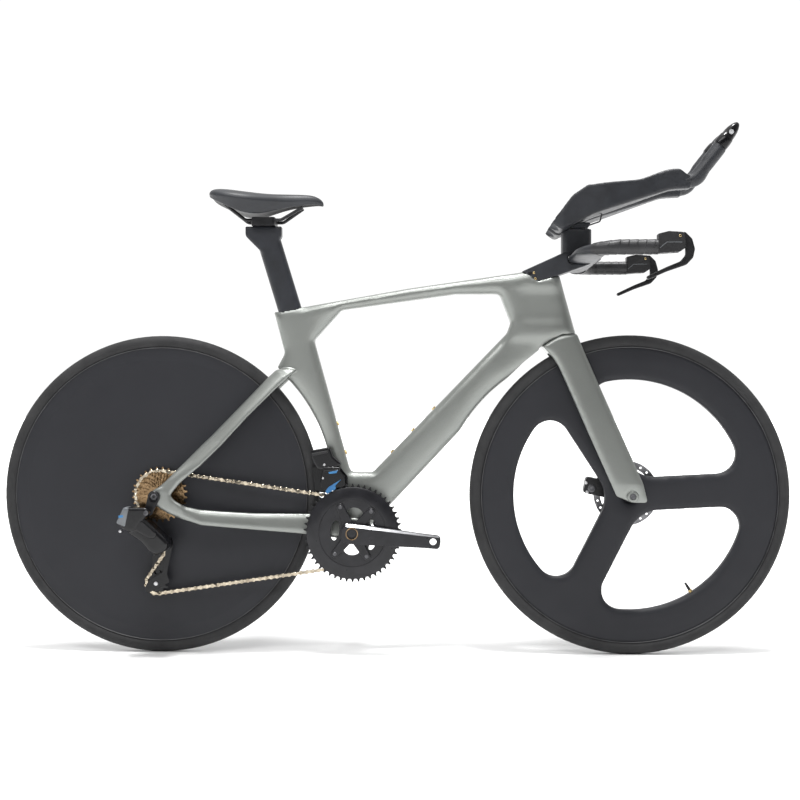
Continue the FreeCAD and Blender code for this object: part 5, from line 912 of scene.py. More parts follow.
def soft_copy(name, source, body, slot, material, voxel, rounds):
    """A rounded copy of a CAD node."""
    obj = soften(put_shape(name, node_shape(source)), voxel, rounds)
    finish_piece(obj, body, slot, material, source)


SHIFTER_PLACE = (0.6795, 1.0695)
SHIFTER_AXIS = Vector((0.62, 0, 0.785)).normalized()
SHIFTER_SQUARE = 2.2
# Shifter radii by the distance from its collar, in millimetres
SHIFTER = ((-2, 12.8), (-1, 14.6), (2, 15.4), (14, 15.4), (22, 14.6), (23.5, 13.3), (33, 13), (42, 11.6),
           (50, 9.2), (56, 6.4), (59.5, 3.6), (60.2, 1))


def shifters():
    ahead, up = SHIFTER_PLACE
    ends = []
    for side, _ in SIDES:
        start = Vector((ahead, side * ARM_SPREAD, up))
        ends.append(round_sweep("shifter_end", start, SHIFTER_AXIS, SHIFTER, SHIFTER_SQUARE))
    finish_piece(join_into(*ends), "steering", "black_plastic", gloss_black, "shifter_pods")


ARM_VOXEL = 2 * MM
# Where the arms turn into the grips, and the lip at the front of each arm
ARM_END = (0.585, 0.62)
ARM_LIP = 13 * MM
LIP_REAR = (0.5, 0.575)
LIP_FRONT = (0.592, 0.616)
LIP_LOW = (0.982, 0.994)
# Middle of each grip in millimetres, as (ahead, up) points
GRIP = ((596, 994), (612, 995.5), (624.5, 999.5), (634, 1008.5), (648, 1025.5), (661.5, 1042.5),
        (677, 1062.5), (683, 1070))
GRIP_RADIUS = 14.3 * MM


def extensions():
    """The two arms, soft at the cups."""
    arms = node_skin("extension_shell", "extensions", ARM_VOXEL)
    co = points_of(arms)
    x, z = co[:, 0], co[:, 2]
    relax(arms, rounds=14, back=False, weight=1 - ease(*ARM_END, x))
    co = points_of(arms)
    co[:, 2] += ARM_LIP * ease(*LIP_REAR, x) * (1 - ease(*LIP_FRONT, x)) * ease(*LIP_LOW, z)
    set_points(arms, co)
    relax(arms, rounds=14)
    finish_piece(arms, "steering", "carbon_skin", bar_carbon, "extensions")


def grips():
    """Round grips that bend up from the arms to the shifters."""
    for side, name in SIDES:
        line = [Vector((x * MM, side * ARM_SPREAD, z * MM)) for x, z in GRIP]
        stations = []
        for i, center in enumerate(line):
            run = (line[min(i + 1, len(line) - 1)] - line[max(i - 1, 0)]).normalized()
            stations.append((center, SIDEWAYS, run.cross(SIDEWAYS), GRIP_RADIUS, GRIP_RADIUS, 2))
        sleeve = subdivide(sweep("grip_" + name, stations))
        finish_piece(sleeve, "steering", "carbon_skin", bar_carbon)


POST_VOXEL = 1.6 * MM


def seat_post():
    post = node_skin("post_shell", "seat_post", POST_VOXEL)
    relax(post, rounds=16, back=False, axes=ACROSS_ONLY)
    relax(post, rounds=10)
    finish_piece(post, "seat_post", "carbon_skin", post_carbon, "seat_post")


# Screw heads in millimetres
AXIS_RADIUS = 0.01
SCREW_BEVEL = 0.5
SCREW_RIM = 0.4
SOCKET_DEPTH = 1
SOCKET_SHARE = 0.5
SOCKET_MOUTH = 0.55
SCREW_POINTS = 32


def screw(name, x, z, side, radius, material, body, height=2.5):
    """A screw head that faces right, with its socket."""
    back = side + height
    floor = side + SOCKET_DEPTH
    profile = ((AXIS_RADIUS, back), (radius, back), (radius, side + SCREW_RIM), (radius - SCREW_BEVEL, side),
               (radius * SOCKET_MOUTH, side), (radius * SOCKET_SHARE, floor), (AXIS_RADIUS, floor))
    obj = turned(name, Vector((x, 0, z)) * MM, profile, SCREW_POINTS)
    finish_piece(obj, body, "bright_steel", material)


# Lever pods and stem in millimetres: the line of each pod's cover, the pods' right sides, pins and screws
POD_LINE = ((527, 838), (540, 849), (570, 849), (570, 850), (539.6, 850), (526.3, 838.7))
POD_SIDES = ((-212, "right"), (188, "left"))
POD_LINE_SIDES = (-0.4, 0.6)
POD_LINE_EDGE = 0.2
LEVER_PIN = (566, 862)
LEVER_PIN_RISE = 0.6
STEM_SCREWS = ((296, 809), (299, 797))
STEM_SCREW_RISE = 0.9
SMALL_SCREW = 2.4
SMALL_HEIGHT = 2


def lever_trim():
    """Cover lines and pins on the lever pods, and the screws of the stem."""
    for side, name in POD_SIDES:
        low, high = (side + offset for offset in POD_LINE_SIDES)
        line = plate("pod_line_" + name, low, high, POD_LINE_EDGE, POD_LINE)
        finish_piece(line, "steering", "black_plastic", grey_plastic)
        front = side - LEVER_PIN_RISE
        screw("lever_pin_" + name, *LEVER_PIN, front, SMALL_SCREW, brass, "steering", SMALL_HEIGHT)
    for number, (x, z) in enumerate(STEM_SCREWS):
        side = skin("stem", x, z) - STEM_SCREW_RISE
        screw("stem_screw_%d" % number, x, z, side, SMALL_SCREW, brass, "steering", SMALL_HEIGHT)


base_bar()
bar_tape()
shifters()
extensions()
grips()
seat_post()
lever_trim()
soft_copy("stem_shell", "stem", "steering", "carbon_skin", bar_carbon, voxel=1.2 * MM, rounds=5)
soft_copy("riser_shell", "riser", "steering", "carbon_skin", bar_carbon, voxel=1.2 * MM, rounds=4)
soft_copy("lever_pod_shell", "lever_pods", "steering", "black_plastic", black_plastic, 0.8 * MM, rounds=3)
soft_copy("clamp_shell", "rail_clamp", "seat_post", "black_alloy", black_alloy, voxel=0.7 * MM, rounds=3)
for hand in ("left", "right"):
    lever = "brake_lever_" + hand
    soft_copy("brake_blade_" + hand, lever, lever, "black_plastic", black_alloy, voxel=0.8 * MM, rounds=8)


# Saddle and arm pads

# Saddle stations from tail to nose in millimetres: place, half width, top, widest height, lower edge
# and its half width
SADDLE = (
    (-392.5, 28, 981.5, 977, 973.5, 24),
    (-391, 37, 985, 976, 970.5, 32),
    (-386, 46, 989, 974, 966, 38),
    (-376, 54, 991, 971, 960, 44),
    (-360, 61, 990, 968, 953, 48),
    (-345, 65, 988.5, 965, 945, 50),
    (-325, 66.5, 985.5, 962, 936, 48),
    (-305, 63, 983.3, 960, 933, 44),
    (-285, 54, 981.3, 959, 933, 36),
    (-266, 43, 980.3, 959, 938, 29),
    (-248, 33, 980, 959.5, 943.5, 24),
    (-228, 26, 980, 960.5, 948.5, 20),
    (-205, 21.5, 979.6, 962, 953, 17.5),
    (-188, 19.5, 979, 963, 955, 16),
    (-175, 17.5, 977.5, 963, 956, 14),
    (-166, 15, 974.5, 962, 956.5, 11),
    (-159, 12, 970.5, 961, 956, 8.5),
    (-154, 8.5, 966, 959.5, 954.5, 6),
    (-151.5, 4, 961.5, 958, 955, 3),
)
CROWN_POINTS = 22
CROWN_SIDE_POWER = 0.8
CROWN_TOP_POWER = 0.85
SKIRT_POINTS = 5
SKIRT_POWER = 0.8
BASE_POINTS = 8
BASE_ARCH = 9
BASE_ARCH_SHARE = 0.8
BASE_ARCH_POWER = 0.6


def saddle_ring(place, half, top, waist, low, low_half):
    """One section: the crown, the skirts drawn in below it and the hollow base."""
    ring = []
    for k in range(CROWN_POINTS + 1):
        angle = math.pi * k / CROWN_POINTS
        c, s = math.cos(angle), math.sin(angle)
        across = math.copysign(abs(c) ** CROWN_SIDE_POWER, c) * half
        ring.append((across, waist + (top - waist) * s ** CROWN_TOP_POWER))
    skirt = []
    for k in range(1, SKIRT_POINTS + 1):
        t = k / SKIRT_POINTS
        skirt.append((half + (low_half - half) * t ** SKIRT_POWER, waist + (low - waist) * t))
    base = []
    arch = min(BASE_ARCH, (waist - low) * BASE_ARCH_SHARE)
    for k in range(1, BASE_POINTS):
        t = k / BASE_POINTS
        base.append((-low_half + 2 * low_half * t, low + arch * math.sin(math.pi * t) ** BASE_ARCH_POWER))
    ring += [(-y, z) for y, z in skirt] + base + skirt[::-1]
    return [Vector((place, y, z)) * MM for y, z in ring]


def saddle():
    rings = [saddle_ring(*station) for station in SADDLE]
    size = len(rings[0])
    cover = add_mesh("saddle_padding", [p for ring in rings for p in ring], ring_faces(len(rings), size))
    cover.data.materials.append(leather)
    cover.data.materials.append(black_plastic)
    start = CROWN_POINTS + SKIRT_POINTS
    for index, face in enumerate(cover.data.polygons):
        if start <= index % size < start + BASE_POINTS and index < size * (len(rings) - 1):
            face.material_index = 1
    subdivide(cover)
    finish_piece(cover, "saddle", "saddle_leather", leather, "saddle_cover", "saddle_shell")


PAD_SLOPE = math.radians(36)
PAD_REAR = -57 * MM
PAD_RISE = 31 * MM
PAD_START = 22 * MM
PAD_LENGTH = 88 * MM
PAD_OUTER = 37.6 * MM
PAD_HALF_ANGLE = 68
PAD_ROWS = 26
PAD_COLUMNS = 30
# How fast the pad rises from its ends and sides, and its thickness in millimetres
PAD_END_RISE = 6.72
PAD_SIDE_RISE = 7
PAD_THIN = 2.2
PAD_EDGE = 2.4
PAD_CROWN = 2.6
PAD_SIDE_POWER = 0.4
PAD_SEAM = 1.2
PAD_SEAM_WIDTH = 0.012


def arm_pad(side, name):
    """A crowned pad in the trough of an arm."""
    along = Vector((math.cos(PAD_SLOPE), 0, math.sin(PAD_SLOPE)))
    down = Vector((along.z, 0, -along.x))
    rear = ARM + Vector((PAD_REAR, side * ARM_SPREAD, PAD_RISE))
    rows, columns = PAD_ROWS, PAD_COLUMNS
    top, under = [], []
    for i in range(rows):
        u = i / (rows - 1)
        end_edge = min(1.0, PAD_END_RISE * min(u, 1 - u)) ** 0.5
        place = rear + along * (PAD_START + PAD_LENGTH * u)
        for k in range(columns):
            v = k / (columns - 1)
            angle = math.radians(-PAD_HALF_ANGLE + 2 * PAD_HALF_ANGLE * v)
            edge = end_edge * min(1.0, PAD_SIDE_RISE * min(v, 1 - v)) ** 0.5
            crown = math.sin(math.pi * u) ** 0.5 * math.sin(math.pi * v) ** PAD_SIDE_POWER
            seam = PAD_SEAM * math.exp(-((v - 0.5) / PAD_SEAM_WIDTH) ** 2) * edge
            thick = (PAD_THIN + PAD_EDGE * edge + PAD_CROWN * crown - seam) * MM
            out = down * math.cos(angle) + SIDEWAYS * math.sin(angle)
            under.append(place + out * PAD_OUTER)
            top.append(place + out * (PAD_OUTER - thick))
    faces = []
    count = rows * columns
    for i in range(rows - 1):
        for k in range(columns - 1):
            a = i * columns + k
            quad = (a, a + 1, a + columns + 1, a + columns)
            faces.append(quad)
            faces.append(tuple(count + q for q in reversed(quad)))
    rim = list(range(columns))
    rim += [i * columns + columns - 1 for i in range(1, rows)]
    rim += [(rows - 1) * columns + k for k in range(columns - 2, -1, -1)]
    rim += [i * columns for i in range(rows - 2, 0, -1)]
    for i, a in enumerate(rim):
        b = rim[(i + 1) % len(rim)]
        faces.append((b, a, count + a, count + b))
    pad = subdivide(add_mesh("arm_pad_" + name, top + under, faces))
    finish_piece(pad, "steering", "pad_fabric", pad_cloth, "arm_pads")


saddle()
for side, name in SIDES:
    arm_pad(side, name)


# Drivetrain

# Plates in millimetres: right side, left side, edge radius, and for most corner radius and outline.
# Turned profiles in millimetres, as (radius, side) points.
AXIS = Vector((BRACKET.x, BRACKET.z)) / MM
CRANK_TILT = math.radians(-5.4)
# Crank arm outlines, along the arm from the spindle and across it
CRANK_LOWER = ((-23, -12), (-15, -21), (12, -21), (150, -14.5), (184, -14), (186, 0))
CRANK = (-68, -59, 1.5, 9, CRANK_LOWER + ((184, 14), (150, 14.5), (12, 21), (-15, 21), (-23, 12)))
CRANK_FRONT = (-73, -66, 1.2, 7, CRANK_LOWER + ((184, 10), (150, 10.5), (12, 14.5), (-14, 14.5), (-23, 9)))
CRANK_BOSS = ((22, -59.5), (22, -43.8), (13, -43.8), (13, -59.5))
PEDAL = 170
PEDAL_HOLE = 7.2
# Bright bevel along the top of the arm: place along it, upper edge, lower edge
CRANK_FACET = ((-14, 20.6, 14), (12, 20.6, 14), (60, 18.2, 12.5), (150, 14.2, 10.2), (182, 13.4, 9.8))
FACET_BACK = -66.8
FACET_FRONT = -73.2
# Openings of the ring face: radius, angle, half length around, half length outwards
RING_OPENINGS = ((40, 84, 18, 13.5), (37, 172, 21, 9), (35, 268, 17, 11.5), (47, 26, 9, 5), (49, -34, 9, 5))
RING_FACE = (-53, -49.2, 0.7)
RING_FACE_RADIUS = 96.5
RING_POINTS = 120
RING_STEP = ((70, -52), (71, -54.4), (95, -54.4), (96.3, -53.4), (96.3, -52))
SPIDER_ARM = (-57.5, -50, 1.6)
SPIDER_ROOT = 12
SPIDER_TIP = 8
# Radius and angle of each ring bolt
RING_BOLTS = ((60, 49), (60, 115), (57, 230), (57, 302))
RING_BOLT = ((AXIS_RADIUS, -58.6), (3.6, -58.6), (4.2, -58), (4.2, -52), (AXIS_RADIUS, -52))
CRANK_BOLT_RING = ((11.2, -73.6), (12.8, -73.6), (12.8, -72.5), (11.2, -72.5))
CRANK_BOLT = ((AXIS_RADIUS, -71.6), (5, -71.6), (5.4, -72.9), (10.6, -73.2), (11.2, -72), (AXIS_RADIUS, -70))


def arm_place(along, across):
    c, s = math.cos(CRANK_TILT), math.sin(CRANK_TILT)
    return AXIS.x + along * c - across * s, AXIS.y + along * s + across * c


def crank_plate(name, low, high, bevel, corner, outline):
    """A plate along the crank arm, with the hole for the pedal."""
    hole = circle(Vector(arm_place(PEDAL, 0)), PEDAL_HOLE, OPENING_POINTS)
    return plate(name, low, high, bevel, [arm_place(*p) for p in round_corners(outline, corner)], [hole])


def crankset():
    arm = crank_plate("crank_right_shell", *CRANK)
    join_into(arm, crank_plate("crank_front", *CRANK_FRONT), turned("crank_boss", BRACKET, CRANK_BOSS))
    finish_piece(arm, "crankset", "black_alloy", crank_black, "crank_arm_right")
    openings = [oval(AXIS, *shape) for shape in RING_OPENINGS]
    face = plate("ring_face", *RING_FACE, circle(AXIS, RING_FACE_RADIUS, RING_POINTS), openings)
    finish_piece(face, "crankset", "black_alloy", crank_black)
    arms = []
    bolts = []
    for place in RING_BOLTS:
        x, z = polar(AXIS, *place)
        arms.append(plate("spider_arm", *SPIDER_ARM, strap(AXIS, SPIDER_ROOT, (x, z), SPIDER_TIP)))
        bolts.append(turned("ring_bolt", Vector((x, 0, z)) * MM, RING_BOLT, SCREW_POINTS))
    step = turned("ring_step", BRACKET, RING_STEP, RING_POINTS)
    finish_piece(join_into(step, *arms), "crankset", "black_alloy", crank_black)
    edges = []
    for along, high, low in CRANK_FACET:
        for across, out in ((high, FACET_BACK), (low, FACET_FRONT), (low, FACET_BACK)):
            x, z = arm_place(along, across)
            edges.append(Vector((x, out, z)) * MM)
    facet = add_mesh("crank_facet", edges, ring_faces(len(CRANK_FACET), 3))
    finish_piece(facet, "crankset", "bright_steel", facet_silver)
    finish_piece(join_into(*bolts), "crankset", "black_alloy", dark_steel)
    rim = turned("crank_bolt_ring", BRACKET, CRANK_BOLT_RING)
    finish_piece(rim, "crankset", "gold_steel", gold)
    finish_piece(turned("crank_bolt", BRACKET, CRANK_BOLT), "crankset", "black_alloy", gloss_black)


# Rear derailleur
HANGER = ((-499, 339), 12.5, (-510, 308), 9)
HANGER_PLATE = (-83.5, -77, 1.2)
HOUSING = (-108, -82, 4, 6, ((-555, 318), (-508, 318), (-502, 307), (-518, 290), (-535, 267), (-554, 270),
                             (-571, 285)))
LINK = (-103, -58, 7, 8, ((-541, 288), (-519, 299), (-468, 252), (-465, 238), (-472, 227), (-488, 219),
                          (-506, 226), (-520, 245), (-552, 266)))
HOUSING_VOXEL = 0.9 * MM
COVER = (-107.5, -98, 3, 5, ((-535, 290), (-517, 294), (-487, 267), (-491, 254), (-504, 254), (-533, 270)))
COVER_VOXEL = 0.7 * MM
END_BLOCK = (-110, -80, 3, 4, ((-556, 319), (-545, 318), (-553, 278), (-572, 286)))
END_MARK = (-110.6, -109.6, 0.3, ((-566, 302), (-556, 303), (-557, 298), (-566, 297)))
CAGE_ARM = (-37.6, -35.2, 0.5, 4, (
    (-480, 252), (-470, 247), (-468, 236), (-478, 190), (-481, 172), (-475, 154), (-488, 147), (-518, 132),
    (-525, 132), (-528, 144), (-518, 159), (-500, 170), (-490, 176), (-486, 205), (-484, 232)))
CAGE_BACK = (-24.8, -23, 0.5, 6, ((-510, 246), (-494, 246), (-484, 228), (-492, 146), (-506, 136),
                                  (-518, 150), (-514, 230)))
AXLE_RING = ((7, -83), (7.6, -86), (11, -86.4), (12, -85.4), (12, -82.5), (7, -82.5))
AXLE_SOCKET = ((4, -84.6), (6.4, -85.4), (7.2, -85), (7.2, -80), (4, -80))
SOCKET_SIDES = 6
# Derailleur screws by name: place ahead, place up, side, radius, material, body, height
REAR_SCREWS = {
    "derailleur_mount_screw": (-510, 307, -109, 5, dark_steel, "frame", 26),
    "derailleur_stop_screw": (-566, 268, -98, 3, steel, "frame", 8),
    "tension_bolt": (-504.87, 150.85, -39, 4.2, steel, "derailleur_cage", 3),
    "guide_bolt": (-502, 233, -37.8, 4, steel, "derailleur_cage", 3),
}


def rear_derailleur():
    housing = soft_plate("derailleur_housing", *HOUSING)
    body = soften(join_into(housing, soft_plate("derailleur_link", *LINK)), HOUSING_VOXEL, rounds=22)
    finish_piece(body, "frame", "black_plastic", derailleur_black, "derailleur_motor", "derailleur_mount",
                 "derailleur_knuckle")
    cover = soften(soft_plate("link_cover", *COVER), COVER_VOXEL, rounds=14)
    finish_piece(cover, "frame", "black_plastic", derailleur_black)
    finish_piece(soft_plate("derailleur_end", *END_BLOCK), "frame", "button_grey", grey_plastic)
    finish_piece(plate("derailleur_mark", *END_MARK), "frame", "button_grey", blue_film)
    hanger = plate("hanger_strap", *HANGER_PLATE, strap(*HANGER))
    finish_piece(hanger, "frame", "black_alloy", black_alloy, "derailleur_hanger")
    finish_piece(turned("axle_ring", REAR_AXLE, AXLE_RING), "frame", "black_alloy", gloss_black)
    socket = turned("axle_socket", REAR_AXLE, AXLE_SOCKET, SOCKET_SIDES)
    finish_piece(socket, "frame", "black_alloy", dark_steel)
    cage = join_into(soft_plate("cage_front", *CAGE_ARM), soft_plate("cage_back", *CAGE_BACK))
    finish_piece(cage, "derailleur_cage", "black_alloy", gloss_black, "derailleur_cage")
    for name, place in REAR_SCREWS.items():
        screw(name, *place)


# Front derailleur
FD_MOTOR = (-46, -17, 2.5, 4, ((-175, 434), (-135, 441), (-128, 421), (-110, 406), (-117, 398), (-139, 391),
                               (-162, 395), (-173, 416)))
FD_MOTOR_VOXEL = 0.7 * MM
FD_LID = (-47.2, -45, 0.8, 2, ((-173, 428), (-139, 434), (-138, 429), (-172, 422)))
FD_LINK = (-55, -50.2, 1.5, 4, ((-150, 392), (-116, 395), (-102, 379), (-102, 359), (-122, 356), (-143, 348),
                                (-155, 362)))
FD_INNER = (-25.5, -23.5, 0.5, 5, ((-174, 398), (-116, 400), (-98, 378), (-98, 356), (-122, 350),
                                   (-146, 343), (-168, 346)))
FD_BRIDGE = (-51, -24, 1.5, 3, ((-150, 399), (-112, 399), (-116, 386), (-146, 384)))
FD_FILMS = {
    "upper": (-56.2, -54.6, 0.5, 2, ((-137, 389), (-116, 393), (-120, 387), (-135, 385))),
    "lower": (-56.2, -54.6, 0.5, 2, ((-143, 349), (-136, 358), (-109, 374), (-122, 361), (-121, 354),
                                     (-140, 343))),
}
FRONT_SCREWS = {
    "front_derailleur_screw_a": (-146, 404, -47.6, 2.4, steel, "frame"),
    "front_derailleur_screw_b": (-128, 398, -47.6, 2, steel, "frame"),
    "front_derailleur_screw_c": (-148, 376, -56.4, 2, steel, "front_derailleur_cage"),
}


def front_derailleur():
    motor = soften(soft_plate("front_derailleur_motor", *FD_MOTOR), FD_MOTOR_VOXEL, rounds=12)
    finish_piece(motor, "frame", "black_plastic", derailleur_black, "front_derailleur_body")
    finish_piece(soft_plate("front_derailleur_lid", *FD_LID), "frame", "black_plastic", black_plastic)
    link = soft_plate("front_derailleur_link", *FD_LINK)
    inner = soft_plate("front_derailleur_inner", *FD_INNER)
    bridge = soft_plate("front_derailleur_bridge", *FD_BRIDGE)
    finish_piece(join_into(link, inner, bridge), "front_derailleur_cage", "black_plastic", gloss_black,
                 "front_derailleur_cage")
    for name, film in FD_FILMS.items():
        trim = soft_plate("front_derailleur_film_" + name, *film)
        finish_piece(trim, "front_derailleur_cage", "button_grey", blue_film)
    for name, place in FRONT_SCREWS.items():
        screw(name, *place)


# Chain: the links of the lower run, and the guide pulley
LOWER_RUN_FRONT = -0.115
LOWER_RUN_TOP = 0.25
GUIDE = Vector((-502, 0, 233)) * MM
GUIDE_REACH = 24.5 * MM


def split_links(source, chosen):
    """Copies a chain node as two pieces: the links not chosen by their middle, and those chosen."""
    shape = node_shape(source)
    seen = set()
    picked = set()
    for vert in shape.verts:
        if vert in seen:
            continue
        island = [vert]
        seen.add(vert)
        for item in island:
            for edge in item.link_edges:
                other = edge.other_vert(item)
                if other not in seen:
                    seen.add(other)
                    island.append(other)
        if chosen(sum((v.co for v in island), Vector()) / len(island)):
            picked.update(v.index for v in island)
    pieces = []
    for name, keep in (("_kept", False), ("_moved", True)):
        part = shape.copy()
        bmesh.ops.delete(part, geom=[v for v in part.verts if (v.index in picked) != keep], context="VERTS")
        pieces.append(put_shape(source + name, part))
    shape.free()
    return pieces


def bend_links(obj, source):
    """A run of chain in the chain's finish, which takes the place of its CAD node."""
    obj.data.materials.append(chain_gold)
    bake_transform(obj)
    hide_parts(source)


def in_lower_run(middle):
    return middle.x < LOWER_RUN_FRONT and middle.z < LOWER_RUN_TOP


def above_guide(middle):
    return middle.z > GUIDE.z and math.hypot(middle.x - GUIDE.x, middle.z - GUIDE.z) > GUIDE_REACH


def chain():
    """The runs between the cage and the sprockets are split off and belong to no body; the rest stays with
    its body.
    """
    upper, lower = split_links("chain_main_run", in_lower_run)
    finish_piece(upper, "frame", "gold_steel", chain_gold, "chain_main_run")
    bend_links(lower, "chain_main_run")
    cage, riser = split_links("chain_cage_run", above_guide)
    finish_piece(cage, "derailleur_cage", "gold_steel", chain_gold, "chain_cage_run")
    co = points_of(riser)
    high, low = co[co[:, 2].argmax()], co[co[:, 2].argmin()]
    bend_links(riser, "chain_cage_run")


crankset()
rear_derailleur()
front_derailleur()
chain()


# Wheel trim

# Rim seam in millimetres: its distance from the middle plane, and (radius, rise) points
SEAM_SIDE = 11.2
SEAM = ((312.2, 0), (313.2, 0.7), (314.2, 0), (313.2, -2))
SEAM_POINTS = 180
WHEEL_VOXEL = 2 * MM
SPOKE_RADIUS = 24 * MM
SPOKE_EDGE_SHARE = 0.4
RIM_START = (0.27, 0.3)
VALVE_TURN = math.radians(-57.5)
# Distances from the axle and radii in millimetres
VALVE_NUT = ((246, 4.2), (243, 4.4), (240, 4.2), (239.4, 3.4))
VALVE_STEM = ((252, 3), (229, 3), (228, 2.4), (222.5, 2.4), (222, 1))
# Front caliper caps and bolts in millimetres: place ahead, place up, radius, material
CALIPER_CAPS = ((424, 350, 8.5, dark_steel), (412, 362, 3.4, steel), (414, 342, 3.4, steel))
CAP_RISE = 1.2
CAP_HEIGHT = 3


def rim_seams():
    for center, body in ((REAR_AXLE, "rear_wheel"), (FRONT_AXLE, "front_wheel")):
        seams = []
        for side, _ in SIDES:
            profile = [(radius, SEAM_SIDE * side + rise * side) for radius, rise in SEAM]
            seams.append(turned("seam", center, profile, SEAM_POINTS))
        finish_piece(join_into(*seams), body, "carbon_skin", seam_grey)


def spoked_wheel():
    """The spoked wheel with round edges at its openings."""
    swell = Swell(("front_wheel",), (0.17, 0.01), (0.83, 0.67))
    wheel = node_skin("front_wheel_shell", "front_wheel", WHEEL_VOXEL)
    co = points_of(wheel)
    reach = np.hypot(co[:, 0] - FRONT_AXLE.x, co[:, 2] - FRONT_AXLE.z)
    inner = rounded(swell.at(co[:, 0], co[:, 2]), SPOKE_RADIUS)
    share = SPOKE_EDGE_SHARE + (1 - SPOKE_EDGE_SHARE) * inner
    share += (1 - share) * ease(*RIM_START, reach)
    co[:, 1] *= share
    set_points(wheel, co)
    relax(wheel, rounds=14, back=False, axes=ACROSS_ONLY)
    relax(wheel, rounds=8)
    finish_piece(wheel, "front_wheel", "carbon_skin", wheel_carbon, "front_wheel")


def valve():
    out = Vector((math.cos(VALVE_TURN), 0, math.sin(VALVE_TURN)))
    nut = round_sweep("valve_nut", FRONT_AXLE, out, VALVE_NUT)
    finish_piece(nut, "front_wheel", "brass_screw", brass)
    stem = round_sweep("valve_stem", FRONT_AXLE, out, VALVE_STEM)
    finish_piece(stem, "front_wheel", "black_alloy", black_alloy, "front_valve")


def caliper_trim():
    for x, z, radius, material in CALIPER_CAPS:
        side = skin("front_caliper", x, z) - CAP_RISE
        screw("front_caliper_cap_%d" % x, x, z, side, radius, material, "steering", CAP_HEIGHT)


rim_seams()
spoked_wheel()
valve()
caliper_trim()


# Finishes of the CAD nodes that stay

FINISH = {
    wheel_carbon: ("rear_disc",),
    rear_rubber: ("rear_tyre",),
    front_rubber: ("front_tyre",),
    black_alloy: ("crank_arm_left", "chainring_outer", "chainring_inner", "rear_caliper", "front_caliper",
                  "front_hub", "rear_hub", "crank_cap", "saddle_rails", "cockpit_bolts"),
    gold: ("cassette",),
    brass: ("bottle_bolts",),
    rotor_steel: ("rear_rotor", "front_rotor"),
    steel: ("bottom_bracket_bearings", "headset_bearings", "chainring_bolts", "freehub_body"),
    dark_steel: ("rear_axle", "front_axle"),
    black_plastic: ("guide_pulley", "tension_pulley", "shift_wire"),
    silver_plastic: ("shift_button_left", "shift_button_right"),
}
for material, names in FINISH.items():
    for name in names:
        nodes[name].data.materials.clear()
        nodes[name].data.materials.append(material)


# Studio

WHITE = (1, 1, 1, 1)
# World strength from the front of the room to its back
WORLD_RANGE = (-0.8, 0.5)
WORLD_STRENGTH = (0.1, 1.05)
FLOOR_CORNERS = ((-30, -30, 0), (30, -30, 0), (30, 30, 0), (-30, 30, 0))
# The floor glows away from the bike, and only behind it
GLOW_RANGE = (0.8, 3.5)
GLOW_STRENGTH = 0.6
BEHIND_RANGE = (-1.4, -0.4)
# Area lights by name: place, target, size, power
LIGHTS = {
    "top_box": ((0.1, -0.3, 3.2), (0, 0, 0.5), (3.2, 2.0), 24),
    "front_fill": ((-1.6, -3.6, 1.6), (0, 0, 0.5), (2.0, 1.6), 3),
    "upper_front": ((-0.5, -2.3, 3.0), (-0.1, 0, 0.45), (3.0, 0.9), 52),
}
SUN_STRENGTH = 2.6
SUN_ANGLE = math.radians(10)
SUN_TURN = math.radians(8)


def backdrop():
    world = bpy.data.worlds.new("studio")
    world.use_nodes = True
    scene.world = world
    tree = world.node_tree
    back = tree.nodes["Background"]
    back.inputs["Color"].default_value = WHITE
    place = add_node(tree, "TexCoord")
    parts = axes_of(tree, place.outputs["Generated"])
    strength = map_range(tree, parts["Y"], *WORLD_STRENGTH, *WORLD_RANGE)
    tree.links.new(strength, back.inputs["Strength"])


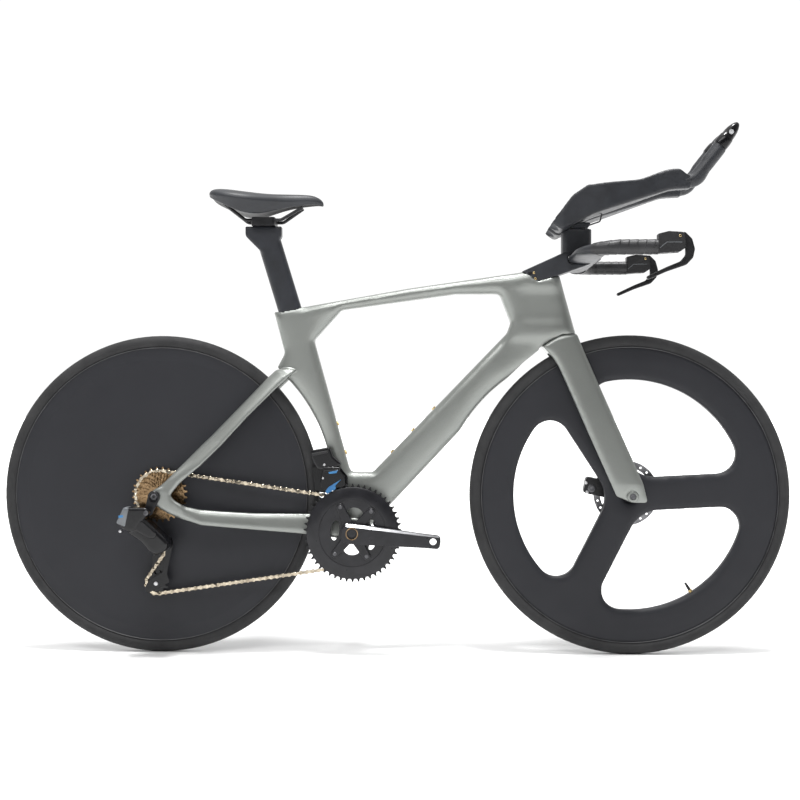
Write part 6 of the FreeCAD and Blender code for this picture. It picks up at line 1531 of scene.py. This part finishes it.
def floor():
    mesh = bpy.data.meshes.new("floor")
    mesh.from_pydata(FLOOR_CORNERS, [], [(0, 1, 2, 3)])
    ground, tree, base = shader("floor_white", (0.93, 0.93, 0.93), 0.9)
    base.inputs["Emission Color"].default_value = WHITE
    far = add_node(tree, "VectorMath")
    far.operation = "LENGTH"
    tree.links.new(place_node(tree), far.inputs[0])
    glow = map_range(tree, far.outputs["Value"], 0, GLOW_STRENGTH, *GLOW_RANGE)
    behind = map_range(tree, axes_of(tree, place_node(tree))["Y"], 0, 1, *BEHIND_RANGE)
    tree.links.new(math_node(tree, "MULTIPLY", glow, behind), base.inputs["Emission Strength"])
    tint(tree, base, noise(tree, 0.4, 2), (0.92, 0.92, 0.92), (0.94, 0.94, 0.94))
    mesh.materials.append(ground)
    put("floor", mesh)


def lights():
    for name, (place, target, size, power) in LIGHTS.items():
        light = bpy.data.lights.new(name, "AREA")
        light.shape = "RECTANGLE"
        light.size, light.size_y = size
        light.energy = power
        lamp = put(name, light)
        lamp.location = place
        lamp.rotation_euler = (Vector(target) - Vector(place)).to_track_quat("-Z", "Y").to_euler()
    sun = bpy.data.lights.new("overhead", "SUN")
    sun.energy = SUN_STRENGTH
    sun.angle = SUN_ANGLE
    put("overhead", sun).rotation_euler = (SUN_TURN, 0, 0)


# The focal length is measured in the photo's pixels
PHOTO_WIDTH = 800
FOCAL_PIXELS = 1229.48
SENSOR_WIDTH = 36
CAMERA_TARGET = Vector((0.01209, 0, 0.54022))
CAMERA_BACK = Vector((0.02855, -0.99959, 0.00257)).normalized()
CAMERA_DISTANCE = 2.6304
CLIP_START = 0.05
CLIP_END = 100


def camera():
    data = bpy.data.cameras.new("photo_camera")
    data.sensor_width = SENSOR_WIDTH
    data.lens = SENSOR_WIDTH * FOCAL_PIXELS / PHOTO_WIDTH
    data.clip_start = CLIP_START
    data.clip_end = CLIP_END
    lens = put("photo_camera", data)
    lens.location = CAMERA_TARGET + CAMERA_BACK * CAMERA_DISTANCE
    lens.rotation_euler = CAMERA_BACK.to_track_quat("Z", "Y").to_euler()
    scene.camera = lens


backdrop()
floor()
lights()
camera()
scene.view_settings.view_transform = "Standard"
